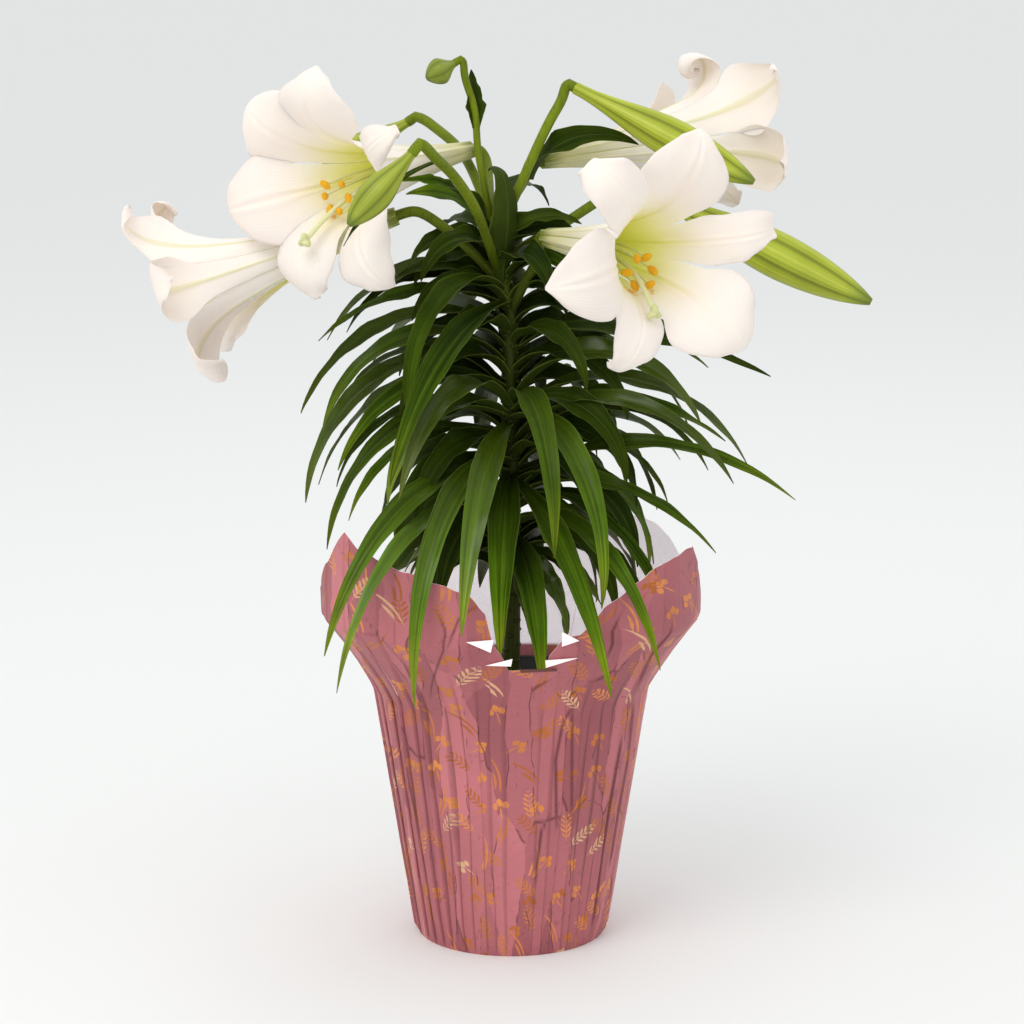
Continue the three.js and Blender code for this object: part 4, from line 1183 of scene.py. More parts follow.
@dataclass
class SoilBed:
    """The potting mix with its lumpy crown, bark and perlite, and the bulb's hollow in it."""

    pot: NurseryPot
    gap: float = 0.3
    depth: float = 141
    crown: float = 6
    lumps: float = 1.6
    hole: float = 6.2
    bulb_bottom: float = 46
    bulb_top: float = 47
    bulb_tier: float = 12
    bulb_profile: tuple[Row, ...] = ((14, 2), (23, 10), (27, 20), (24, 31), (15, 41), (6, 47))
    sides: int = 96

    def draped(self, radii: np.ndarray, sides: int) -> np.ndarray:
        """Rings of the radii that lie on the mix's lumpy top."""
        rings = turned([(r, 0) for r in radii], sides)
        x, y = rings[..., 0], rings[..., 1]
        radius = np.hypot(x, y)
        crown = np.interp(radius, [0, 22, 48, 80], [self.crown, self.crown, 0.4 * self.crown, 0])
        lump = self.lumps * np.sin(x * 0.21 + 1) * np.cos(y * 0.17) * smooth(radius, 10, 16)
        small = 0.5 * np.sin(x * 0.9 + 2 * np.sin(y * 0.5)) * np.cos(y * 0.8) * smooth(radius, 8, 14)
        rings[..., 2] = self.depth + crown + (lump + small) * (1 - smooth(radius, 70, 74.5))
        return rings

    def build(self, material: bpy.types.Material) -> bpy.types.Object:
        """Makes the body of the mix."""
        low = self.pot.base + self.pot.floor + self.gap
        heights = np.array([low, *np.linspace(low + 5, self.depth - 1, 5)])
        radii = self.pot.within(heights) - self.gap
        radii[0] -= 1
        wall = turned([(0.5, low), *zip(radii, heights)], self.sides)
        rim = self.pot.within(self.depth) - self.gap - 0.2
        hollow = [(r * 1.06 + 1, self.bulb_bottom + z) for r, z in self.bulb_profile[::-1]]
        hollow = turned([*hollow, (0.5, self.bulb_bottom - 1)], self.sides)
        shell = Shell()
        shell.skin(np.concatenate([wall, self.draped(np.linspace(rim, self.hole, 34), self.sides), hollow]))
        return shell.build("soil_bed", material, crease=50)

    def strewn(self, name: str, tree: bpy.types.NodeTree, values: dict[str, Any]) -> bpy.types.Object:
        """Makes the bits that lie on the mix: its top face, with lumps strewn over it."""
        sides, rings = 48, 16
        points = self.draped(np.linspace(72, 9, rings), sides) + (0, 0, 0.2)
        at = np.arange(rings * sides).reshape(rings, sides)
        after = np.roll(at, -1, axis=1)
        faces = np.stack([at[:-1], after[:-1], after[1:], at[1:]], axis=-1).reshape(-1, 4)
        return run_tree(new_piece(name, points.reshape(-1, 3), faces=faces.tolist()), tree, values)

    def bulb(self, material: bpy.types.Material) -> bpy.types.Object:
        """Makes the bulb with its overlapping scales."""
        angles = around(84)
        radii, at = zip((4, 0), *self.bulb_profile)
        rings = []
        for z in np.linspace(0.5, self.bulb_top, 30):
            tier, share = divmod(z / self.bulb_tier, 1)
            scales = np.abs(np.sin(3.5 * angles + 0.9 * tier))
            size = np.interp(z, at, radii) * (0.90 + 0.10 * scales**0.6) * (1 - 0.03 * share)
            rings.append(ring(size, angles, self.bulb_bottom + z))
        shell = Shell()
        shell.skin(np.array(rings))
        return shell.build("bulb_scales", material)


# Stem, stalks and leaves

@dataclass(frozen=True)
class Leaf:
    """A leaf by the ends of its midrib: heading, root height, reach, tip height, bend and half width.

    Its blade rolls towards the front unless it has a roll of its own.
    """

    heading: float
    root: float
    reach: float
    tip: float
    bend: float
    width: float
    foot: tuple[float, float, float] | None = None
    roll: float | None = None
    late: float = 0.8
    tone: float = 0.5
    fresh: float = 0.0


@dataclass(frozen=True)
class Spiral:
    """Leaves set round the stem in a spiral, but for a gap at its front."""

    count: int
    start: float
    gap: float
    heights: tuple[float, float]
    turn: float = 137.5

    def places(self) -> list[tuple[int, float, float, float]]:
        """Number, share of the way up, heading and root height of each leaf."""
        found = []
        for k in range(self.count):
            share = (k + 0.5) / self.count
            heading = (k * self.turn + self.start + 180) % 360 - 180
            if abs(heading) >= self.gap:
                found.append((k, share, heading, lerp(*self.heights, share)))
        return found


@dataclass(frozen=True)
class Stalk:
    """A stalk: the points it passes, then the base and axis of what it carries."""

    path: tuple[Row, ...]
    base: Row
    axis: Row
    steps: int = 40
    young_above: float = 540
    young: float = 0.72

    def points(self) -> np.ndarray:
        """Even points along the stalk, rounded at its bend and straight where it ends."""
        ends = [np.array(self.base) - gap * unit(self.axis) for gap in (8, -1.5)]
        found = catmull([*self.path, *ends], self.steps)
        for _ in range(6):
            found[1:-3] = (found[:-4] + 2 * found[1:-3] + found[2:-2]) / 4
        return found

    def girth(self) -> np.ndarray:
        """Radii along the stalk, thinner for the young bud, which stands highest."""
        return np.linspace(2.8, 3.3, self.steps + 1) * (self.young if self.base[2] > self.young_above else 1)


@dataclass
class Foliage:
    """The leafy stem: leaves that show singly, leaves behind, and the small ones on the stalks."""

    stem: tuple[Row, ...] = (
        (0, 0, 94.3), (0, 0, 150), (1, 0, 230), (0, 0, 300), (-1, 0, 370), (-1, 0, 398), (-8, 2, 424),
        (-11, 4, 452),
    )
    stem_foot: float = 5.6
    stem_top: float = 4
    start: float = 2.5
    thickness: float = 0.75
    fold_at_root: float = 34
    fold_at_tip: float = 14
    roll: float = 40
    twist: float = 26
    rows: int = 30
    columns: int = 9
    shown: tuple[Row, ...] = (
        (-39, 407, 80, 322, 161, 8), (-31, 399, 132, 308, 67, 10.5), (-89, 383, 126, 331, 104, 7.5),
        (-102, 398, 119, 372, 72, 6.5), (-112, 400, 107, 375, 109, 8), (-76, 361, 115, 323, 136, 7.5),
        (-82, 361, 124, 278, 115, 9), (-65, 346, 112, 304, 107, 8), (-65, 328, 120, 256, 117, 7.5),
        (-44, 294, 156, 205, 95, 9), (-79, 315, 99, 267, 108, 6), (-38, 269, 164, 187, 110, 6.5),
        (-26, 301, 127, 175, 123, 9), (-13, 324, 125, 219, 78, 10.5), (-5, 293, 74, 193, 100, 11),
        (-29, 334, 131, 300, 119, 9.5), (-53, 329, 90, 284, 135, 9.5), (-75, 312, 70, 244, 111, 9),
        (-83, 302, 59, 260, 106, 7), (-102, 233, 64, 223, 143, 6), (-95, 295, 85, 242, 93, 7),
        (-94, 318, 106, 283, 131, 6), (-114, 341, 113, 330, 125, 7),
        (78, 379, 159, 359, 40, 9), (73, 334, 118, 331, 141, 11), (106, 369, 138, 359, 80, 7.5),
        (102, 351, 124, 355, 99, 6), (93, 331, 146, 295, 111, 7.5), (66, 312, 144, 298, 119, 7.5),
        (74, 281, 176, 286, 87, 7), (100, 327, 134, 309, 69, 8.5), (111, 304, 112, 294, 117, 7),
        (102, 306, 124, 290, 126, 6), (95, 295, 96, 271, 136, 5.5), (121, 298, 82, 277, 152, 5.5),
        (67, 280, 132, 254, 81, 6), (100, 288, 85, 227, 138, 7), (125, 275, 94, 227, 124, 7),
        (31, 327, 103, 228, 131, 9.5), (14, 338, 105, 262, 139, 9.5), (23, 289, 148, 186, 53, 9),
        (12, 252, 84, 175, 89, 10), (38, 264, 140, 196, 100, 7.5), (66, 280, 102, 194, 106, 5.5),
        (62, 275, 62, 220, 116, 7.5), (87, 235, 30, 184, 93, 6), (115, 245, 60, 203, 61, 6.5),
        (-75, 432, 54, 467, 103, 11), (146, 448, 59, 453, 140, 8),
        (84, 427, 49, 448, 120, 8), (72, 412, 47, 411, 150, 9), (-93, 402, 66, 414, 100, 9),
        (-79, 425, 53, 421, 147, 9), (98, 402, 34, 388, 156, 8), (138, 386, 84, 367, 102, 9),
    )
    bracts: tuple[Row, ...] = (
        (10, 18, 473, 82, 66, 495, 105, 8.5, 72, 0.8), (-20.5, -6.5, 506, -155, 6, 541, 10, 7, 0, 0.8),
        (-41, -87, 494, -77, 55, 446, 43, 3, -39, 0.8), (-25.5, -56, 470, -78, 39, 480, 60, 4, -60, 0.8),
        (-7, -2, 413, 30, -16, 479, -150, 11.5, 0, 4),
    )
    fresh_and_lit_bract: int = 3
    lowest: tuple[Row, ...] = (
        (52, 244, 40, 202, 70, 8), (24, 238, 26, 194, 60, 7), (-100, 246, 66, 228, 110, 8),
        (80, 240, 52, 214, 90, 8),
    )
    back: Spiral = Spiral(62, -82, 112, (205, 415))
    inner: Spiral = Spiral(60, 31, 32, (232, 432))
    scar_size: float = 2.9
    scar_out: float = 4.4
    scar_drop: float = 0.8
    bare_count: int = 24
    bare_from: float = 150
    bare_step: float = 3.2

    def stem_at(self, z: float) -> np.ndarray:
        """The stem's axis at a height."""
        path = np.array(self.stem, float)
        return np.array([np.interp(z, path[:, 2], path[:, k]) for k in range(3)])

    def back_leaves(self) -> list[Leaf]:
        """The leaves on the far side."""
        leaves = []
        for k, height, heading, root in self.back.places():
            drop = lerp(6, 62, smooth(height, 0.05, 0.4)) - 30 * smooth(height, 0.6, 1) + 10 * draw(k, 2)
            most = 98 if root - drop < 246 else 150
            reach = lerp(84, 130, smooth(height, 0.05, 0.45)) - 18 * smooth(height, 0.7, 1) + 10 * draw(k, 1)
            bend, width = lerp(118, 92, height), lerp(8.5, 11, draw(k, 3))
            leaves.append(Leaf(heading, root, min(most, reach), root - drop, bend, width, tone=draw(k, 31)))
        return leaves

    def inner_leaves(self) -> list[Leaf]:
        """Short leaves close to the stem, which shade the middle of the plant; their low tone also paints
        them dark, as painted shade.
        """
        leaves = []
        for k, height, heading, root in self.inner.places():
            reach = lerp(74, 50, smooth(height, 0.3, 1)) + 12 * draw(k, 51)
            drop = lerp(44, 4, smooth(height, 0.1, 0.9)) + 16 * draw(k, 52)
            bend, width = lerp(125, 150, height), lerp(9, 12, draw(k, 53))
            leaves.append(Leaf(heading, root, reach, root - drop, bend, width, tone=0.25 * draw(k, 54)))
        return leaves

    def leaves(self) -> list[Leaf]:
        """Every leaf, with its tone: those that hang low in front are the freshest green, which is partly
        painted light on the lit front of the plant.
        """
        found = []
        for k, row in enumerate(self.shown):
            frontness = max(0.0, math.cos(math.radians(row[0] / 1.4)))
            low = smooth(300 - row[3], 0, 100)
            fresh = low * (0.4 + 0.6 * frontness) * (0.5 + 0.5 * draw(k, 32)) + 0.3 * (draw(k, 38) > 0.8)
            tone = draw(k, 31) * lerp(1, 0.35, smooth(row[1], 360, 425))
            found.append(Leaf(*row, tone=tone, fresh=fresh))
        for k, (x, y, z, heading, reach, tip, bend, width, roll, late) in enumerate(self.bracts):
            fresh = 0.5 if k == self.fresh_and_lit_bract else 0.0
            found.append(Leaf(heading, z, reach, tip, bend, width, (x, y, z), roll, late, 0.15, fresh))
        found += [Leaf(*row, tone=0.8, fresh=0.25) for row in self.lowest]
        return found + self.back_leaves() + self.inner_leaves()

    def bow(self, leaf: Leaf, u: np.ndarray) -> tuple[np.ndarray, np.ndarray, np.ndarray]:
        """A leaf's midrib as a bow in an upright plane.

        Args:
            leaf: The leaf.
            u: Shares of its length.

        Returns:
            How far out and up each share lies, and the slope there.
        """
        steps = 40
        turns = -math.radians(leaf.bend) * ((np.arange(steps) + 0.5) / steps) ** leaf.late
        x, y = (np.concatenate([[0], np.cumsum(strides)]) for strides in (np.cos(turns), np.sin(turns)))
        rise = math.atan2(leaf.tip - leaf.root, leaf.reach) - math.atan2(y[-1], x[-1])
        scale = math.hypot(leaf.reach, leaf.tip - leaf.root) / math.hypot(x[-1], y[-1])
        x, y = (np.interp(u * steps, np.arange(steps + 1), values) * scale for values in (x, y))
        slope = rise - math.radians(leaf.bend) * u**leaf.late
        return x * math.cos(rise) - y * math.sin(rise), x * math.sin(rise) + y * math.cos(rise), slope

    @staticmethod
    def outline(u: np.ndarray) -> np.ndarray:
        """Half the blade's width along it, as a share of its widest."""
        taper = (np.maximum(1 - u, 0) / 0.62) ** 0.75
        return np.maximum(0.03, np.where(u < 0.38, 0.4 + 0.6 * smooth(u, -0.05, 0.38), taper))

    def blade(self, shell: Shell, leaf: Leaf, number: int) -> None:
        """Adds one leaf: folded along its midrib, rolled towards the front, thin and wavy at its edges."""
        u = np.linspace(0, 1, self.rows)[:, None]
        across = np.linspace(-1, 1, self.columns)
        edge = np.abs(across)
        out, upward, slope = self.bow(leaf, u)
        away, rise = outward(leaf.heading), np.array([0, 0, 1.0])
        foot = np.array(leaf.foot) if leaf.foot else self.stem_at(leaf.root)
        middle = foot + away * (out + self.start) + rise * upward
        along = away * np.cos(slope) + rise * np.sin(slope)
        up = rise * np.cos(slope) - away * np.sin(slope)
        whole, twist = (self.roll * away[0], draw(number, 35) - 0.5) if leaf.roll is None else (leaf.roll, 0)
        roll = np.radians(whole) * smooth(u, 0.05, 0.5)
        roll = roll + np.radians(self.twist * twist) * smooth(u, 0.35, 0.9)
        up = up * np.cos(roll) + np.cross(along, up) * np.sin(roll)
        half = leaf.width * self.outline(u)
        fold = np.radians(lerp(self.fold_at_root, self.fold_at_tip, u))
        keel = np.sqrt(across**2 + 0.02) - math.sqrt(0.02)
        wave = 1.5 * across * edge * ripple(u, 2.2 + 1.6 * draw(number, 33), draw(number, 34))
        wave = wave + 0.7 * edge**3 * ripple(u, 5.5 + 2 * draw(number, 36), draw(number, 37))
        groove = -0.35 * bell(across, 0.16) * (1 - u)
        aside = half * across * np.cos(fold)
        lift = half * keel * np.sin(fold) + (wave * smooth(u, 0.1, 0.4) + groove) * half / leaf.width
        thick = self.thickness * (1 - 0.6 * across**2) * lerp(1.6, 0.7, u)
        side, up = np.cross(up, along)[:, None], up[:, None]
        top = middle[:, None] + side * aside[..., None] + up * lift[..., None]
        low = top - up * thick[..., None]
        shell.sheet(top, low, along=u, across=across, under=(0, 1), tone=leaf.tone, fresh=leaf.fresh)

    def build_leaves(self, material: bpy.types.Material) -> bpy.types.Object:
        """Makes all the leaves as one piece."""
        shell = Shell()
        for k, leaf in enumerate(self.leaves()):
            self.blade(shell, leaf, k)
        return shell.build("leaves", material, crease=70)

    def build_stalks(
        self, stalks: Sequence[Stalk], material: bpy.types.Material, tree: bpy.types.NodeTree,
    ) -> bpy.types.Object:
        """Makes the stem and every stalk, each a round sweep along its line."""
        lines = [(catmull(self.stem, 60), np.linspace(self.stem_foot, self.stem_top, 61))]
        lines += [(stalk.points(), stalk.girth()) for stalk in stalks]
        return line_piece("stem_and_stalks", lines, material, tree)

    def build_scars(self, material: bpy.types.Material, tree: bpy.types.NodeTree) -> bpy.types.Object:
        """Makes the swollen foot of every leaf, and those of leaves long fallen from the foot of the stem."""
        roots = [(leaf.heading, leaf.root) for leaf in self.leaves() if leaf.foot is None]
        roots += [(k * self.back.turn, self.bare_from + self.bare_step * k) for k in range(self.bare_count)]
        drop = (0, 0, self.scar_drop)
        points = [self.stem_at(root) + outward(heading) * self.scar_out - drop for heading, root in roots]
        piece = new_piece("leaf_feet", points, heading=[math.radians(heading) for heading, _ in roots])
        return run_tree(piece, tree, {"Size": self.scar_size * MM, "Material": material})


def line_piece(
    name: str, lines: Sequence[tuple[np.ndarray, np.ndarray]], material: bpy.types.Material,
    tree: bpy.types.NodeTree, sides: int = 16,
) -> bpy.types.Object:
    """Makes a piece of round sweeps.

    Args:
        name: The piece's name.
        lines: Points and radii of each line, in millimetres.
        material: Its finish.
        tree: The geometry tree that sweeps them.
        sides: Points round each sweep.

    Returns:
        The piece.
    """
    points, edges, girth = [], [], []
    for path, radii in lines:
        start = len(points)
        points.extend(path)
        edges += [(start + k, start + k + 1) for k in range(len(path) - 1)]
        girth.extend(radii * MM)
    return run_tree(new_piece(name, points, edges, girth=girth), tree, {"Sides": sides, "Material": material})


# Flowers

@dataclass(frozen=True)
class Lobe:
    """What sets one petal apart.

    Attributes:
        angle: Where it stands round the axis, in degrees from the upper side.
        flare: How far it leans out past the throat, in degrees.
        curl: How far its end rolls back beyond that.
        late: How late along its length the curl comes.
        length: Its length, as a share of most.
        width: Its width, as a share of most.
        hook: How far its tip bends sideways.
        skew: How much further one corner of its end reaches than the middle.
        blunt: How wide its end stays, from 0 for a point to 1.
        taper: How much it narrows to a strap past the throat.
    """

    angle: float
    flare: float
    curl: float = 70
    late: float = 4
    length: float = 1
    width: float = 1
    hook: float = 0
    skew: float = 0
    blunt: float = 0
    taper: float = 0


@dataclass(frozen=True)
class Petal:
    """One petal of a flower: its lobe, its true size and its shares of the throat to either side."""

    lobe: Lobe
    length: float
    width: float
    cup: float
    left_share: float
    right_share: float
    inner: bool
    number: int


@dataclass(frozen=True)
class Flower:
    """An open flower's base, the way it opens, its stalk, petals and stamens.

    The petals go round the axis: wide inner ones take turns with narrow outer ones.
    """

    name: str
    base: Row
    axis: Row
    stalk: tuple[Row, ...]
    petals: tuple[Lobe, ...]
    droop: float = 8
    style_droop: float = 16
    sway: float = 0
    style_sway: float = 0
    reach: float = 1
    spread: float = 9
    frill: float = 1.0

    def place(self, points: np.ndarray) -> np.ndarray:
        """Points given by the flower's upper side, other side and axis, in the frame of the whole."""
        axis = unit(self.axis)
        up = unit(np.array([0, 0, 1.0]) - axis * axis[2])
        return points @ np.array([up, np.cross(axis, up), axis]) + np.array(self.base)


FLOWERS = (
    Flower(
        "front_right", (21.5, -22, 442.2), (0.487, -0.873, 0.023),
        ((0, -1, 394), (8, -9, 412), (16, -18, 429)),
        (
            Lobe(-17, 66, length=1.03, width=1.1),
            Lobe(45, 78, 110, length=1.19, width=0.9, blunt=0.5, skew=4),
            Lobe(99, 90, 50, length=1.12),
            Lobe(157, 66, 100, length=1.07, width=0.95, hook=-5, blunt=0.6, taper=0.3),
            Lobe(219, 42, 90, length=1.05, width=1.15),
            Lobe(280, 48, 90, length=1.06, width=0.74, blunt=0.4, skew=8),
        ),
        droop=11, style_droop=32, sway=2, style_sway=8,
    ),
    Flower(
        "upper_left", (-25.5, 50, 488.1), (-0.642, -0.762, -0.091),
        ((-11, 3, 440), (-13, 20, 457), (-14, 42, 471), (-16, 57, 483)),
        (
            Lobe(-6, 54, length=1.05, width=1.2, hook=-6),
            Lobe(47, 54, 90, length=1.05, width=1.4),
            Lobe(104, 54, length=1.03, width=1.08, blunt=0.25),
            Lobe(158, 90, 100, length=1.09, width=1.1, hook=4, blunt=0.6, skew=-4),
            Lobe(220, 84, length=1.03),
            Lobe(302, 60, 90, width=0.62, blunt=0.4),
        ),
        droop=10, style_droop=32, sway=6, style_sway=9, reach=1.05,
    ),
    Flower(
        "lower_left", (-69.7, -8, 453.3), (-0.937, 0.083, -0.338),
        ((-6, 1, 410), (-20, -4, 427), (-40, -8, 446), (-58, -9, 457)),
        (
            Lobe(-29, 36, 110, length=1.05, width=1.05, taper=0.3),
            Lobe(34, 38, 260, length=1.1, width=0.8),
            Lobe(94, 56),
            Lobe(157, 6, 40, length=0.86),
            Lobe(217, 84, 200, length=1.06),
            Lobe(277, 48, 130, length=1.05, width=1.05, blunt=0.4, skew=5),
        ),
    ),
    Flower(
        "back_right", (18.4, 25, 484.2), (0.84, 0.53, 0.08), ((-10, 4, 440), (-1, 13, 458), (9, 20, 474)),
        (
            Lobe(55, 72, 60, length=1.03, taper=0.35),
            Lobe(106, 54, 90, length=1.04, width=1.1, blunt=0.3),
            Lobe(165, 4, 50, length=0.84),
            Lobe(228, 60, 90),
            Lobe(288, 2, 50, length=0.78),
            Lobe(358, 45, 380, 1.8, length=1.12, width=0.9, taper=0.7),
        ),
    ),
)


@dataclass
class Trumpet:
    """The trumpet of one flower: six overlapping petals, ridged, thin-edged and rolled back at the rim."""

    flower: Flower
    base: float = 4.2
    taper: float = 4.5
    throat: float = 17
    tube_share: float = 0.58
    notch: float = 0.72
    inner_share: float = 0.57
    wall: float = 1.4
    thin: float = 1
    inner_size: tuple[float, float] = (178, 27)
    outer_size: tuple[float, float] = (172, 19.5)
    rows: int = 88
    columns: int = 27
    foot: tuple[tuple[float, float], ...] = (
        (0.4, -1.0), (2.8, -0.9), (4.5, 0.1), (5.1, 1.8), (5.0, 3.6), (3.0, 4.9), (0.4, 5.1),
    )

    def petals(self) -> list[Petal]:
        """Six petals in order round the axis: wide inner ones take turns with narrow outer ones."""
        made = []
        for k, lobe in enumerate(self.flower.petals):
            inner = k % 2 == 0
            turns = [self.flower.petals[m % 6].angle - lobe.angle for m in (k + 5, k + 1)]
            before, after = ((turn + 180) % 360 - 180 for turn in turns)
            part = self.inner_share if inner else 1 - self.inner_share
            length, width = self.inner_size if inner else self.outer_size
            cup = -0.008 if inner else -0.014
            size = (length * lobe.length, width * lobe.width)
            made.append(Petal(lobe, *size, cup, -before * part, after * part, inner, k))
        return made

    def lean(self, petal: Petal, u: np.ndarray) -> np.ndarray:
        """Lean of a petal's midrib away from the flower's axis, in degrees, at shares of its length."""
        tube = lerp(self.taper, self.throat, (np.minimum(u, self.tube_share) / self.tube_share) ** 1.7)
        w = np.maximum(u - self.tube_share, 0) / (1 - self.tube_share)
        return tube + petal.lobe.flare * w**1.2 + petal.lobe.curl * w**petal.lobe.late

    def walk(self, petal: Petal, u: np.ndarray) -> tuple[np.ndarray, np.ndarray, np.ndarray]:
        """Radius, height and lean of a petal's midrib at shares of its length."""
        steps = 100
        middle = np.radians(self.lean(petal, (np.arange(steps) + 0.5) / steps))
        stride = petal.length / steps
        r = self.base + stride * np.concatenate([[0], np.cumsum(np.sin(middle))])
        z = stride * np.concatenate([[0], np.cumsum(np.cos(middle))])
        at = np.arange(steps + 1)
        lean = np.radians(self.lean(petal, u))
        return np.interp(u * steps, at, r), np.interp(u * steps, at, z), lean

    @staticmethod
    def outline(petal: Petal, u: np.ndarray) -> np.ndarray:
        """Half a petal's width past the throat, as a share of its widest: outer ones keep theirs longer."""
        start, bend, blunt = (0.76, 1.9, 0.75) if petal.inner else (0.84, 2.2, 0.8)
        rounded = (1 - np.clip((u - start) / (1 - start), 0, 1) ** bend) ** blunt
        strap = 1 - petal.lobe.taper * smooth(u, 0.72, 0.95)
        return strap * np.maximum(lerp(0.06, 0.75, petal.lobe.blunt), rounded)

    def surface(self, petal: Petal, u: np.ndarray, t: np.ndarray, outside: np.ndarray) -> np.ndarray:
        """Points on a petal.

        Args:
            petal: The petal.
            u: Shares of its length.
            t: Places across it, from -1 to 1.
            outside: How far outside its inner face.

        Returns:
            Points in the flower's frame.
        """
        r, z, lean = self.walk(petal, u)
        share = r * np.radians(np.where(t < 0, petal.left_share, petal.right_share))
        opened = smooth(u, self.notch - 0.04, self.notch + 0.08)
        tucked = 1.05 if petal.inner else 1.0
        reach = t * lerp(share * tucked, petal.width * self.outline(petal, u), opened)
        curve = lerp(1 / r, petal.cup, smooth(u, 0.5, 0.8))
        curve = np.where(np.abs(curve) < 1e-5, 1e-5, curve)
        ending = smooth(u, 0.74, 1.0) ** 1.4
        sideways = np.sin(curve * reach) / curve + petal.lobe.hook * ending
        depth = outside - (1 - np.cos(curve * reach)) / curve
        further = petal.lobe.skew * t * ending
        radial = r + depth * np.cos(lean) + further * np.sin(lean)
        height = z - depth * np.sin(lean) + further * np.cos(lean)
        angle = math.radians(petal.lobe.angle)
        x = radial * math.cos(angle) - sideways * math.sin(angle)
        y = radial * math.sin(angle) + sideways * math.cos(angle)
        return np.stack(np.broadcast_arrays(x, y, height), axis=-1)

    def relief(self, petal: Petal, u: np.ndarray, t: np.ndarray) -> np.ndarray:
        """How far a petal bends out of its smooth sheet: its wavy, rolled-back edges."""
        seed = petal.number + 7 * len(self.flower.name)
        side, edge = np.where(t < 0, 0.0, 0.37), np.abs(t)
        late = smooth(u, self.notch, 0.92)
        wave = ripple(u, 5.5 + 2 * draw(seed, 41), draw(seed, 42) + side) * edge**2.4 * late
        frill = ripple(u, 13 + 3 * draw(seed, 43), draw(seed, 44) - side) * edge**4 * smooth(u, 0.84, 0.97)
        roll = np.clip((edge - 0.62) / 0.38, 0, 1) ** 2 * late
        tuck = 0.0 if petal.inner else 0.6
        return tuck * (1 - late) + 1.5 * wave + 0.8 * self.flower.frill * frill + 2.4 * roll

    def dusted(self, points: np.ndarray) -> np.ndarray:
        """How thickly pollen lies at points, from 0 to 1: it falls where the anthers come near."""
        ends = [path[-1] for path in StamenSet(self.flower).filaments()]
        return 0.9 * bell(np.min([np.linalg.norm(points - end, axis=-1) for end in ends], axis=0), 6)

    def build(self, material: bpy.types.Material) -> bpy.types.Object:
        """Makes the flower's petals, closed at their foot."""
        shell, place = Shell(), self.flower.place
        s = np.linspace(-1, 1, self.columns)[None, :]
        t, u = np.sign(s) * np.abs(s) ** 1.35, np.linspace(0, 1, self.rows)[:, None]
        edge = np.abs(t)
        thick = lerp(self.wall, self.thin, smooth(u, 0.3, 0.7)) * (1 - 0.68 * edge**1.5)
        thick = thick + 0.7 * bell(t, 0.14) * smooth(u, 0.05, 0.3) * (1 - smooth(u, 0.8, 1.0))
        ridges = 0.75 * (bell(edge - 0.13, 0.07) - 0.5 * bell(t, 0.06))
        ridges = ridges * smooth(u, 0.3, 0.6) * (1 - smooth(u, 0.86, 1.0))
        for petal in self.petals():
            bend = self.relief(petal, u, t)
            inner = self.surface(petal, u, t, bend - ridges * (1.0 if petal.inner else 0.5))
            outer = self.surface(petal, u, t, bend + thick)
            dust = self.dusted(inner)
            shell.sheet(place(inner), place(outer), along=u, across=t, inside=(1, 0), pollen=(dust, 0))
        shell.skin(place(turned(self.foot, 24)), across=1.0)
        return shell.build(f"petals_{self.flower.name}", material, crease=80)


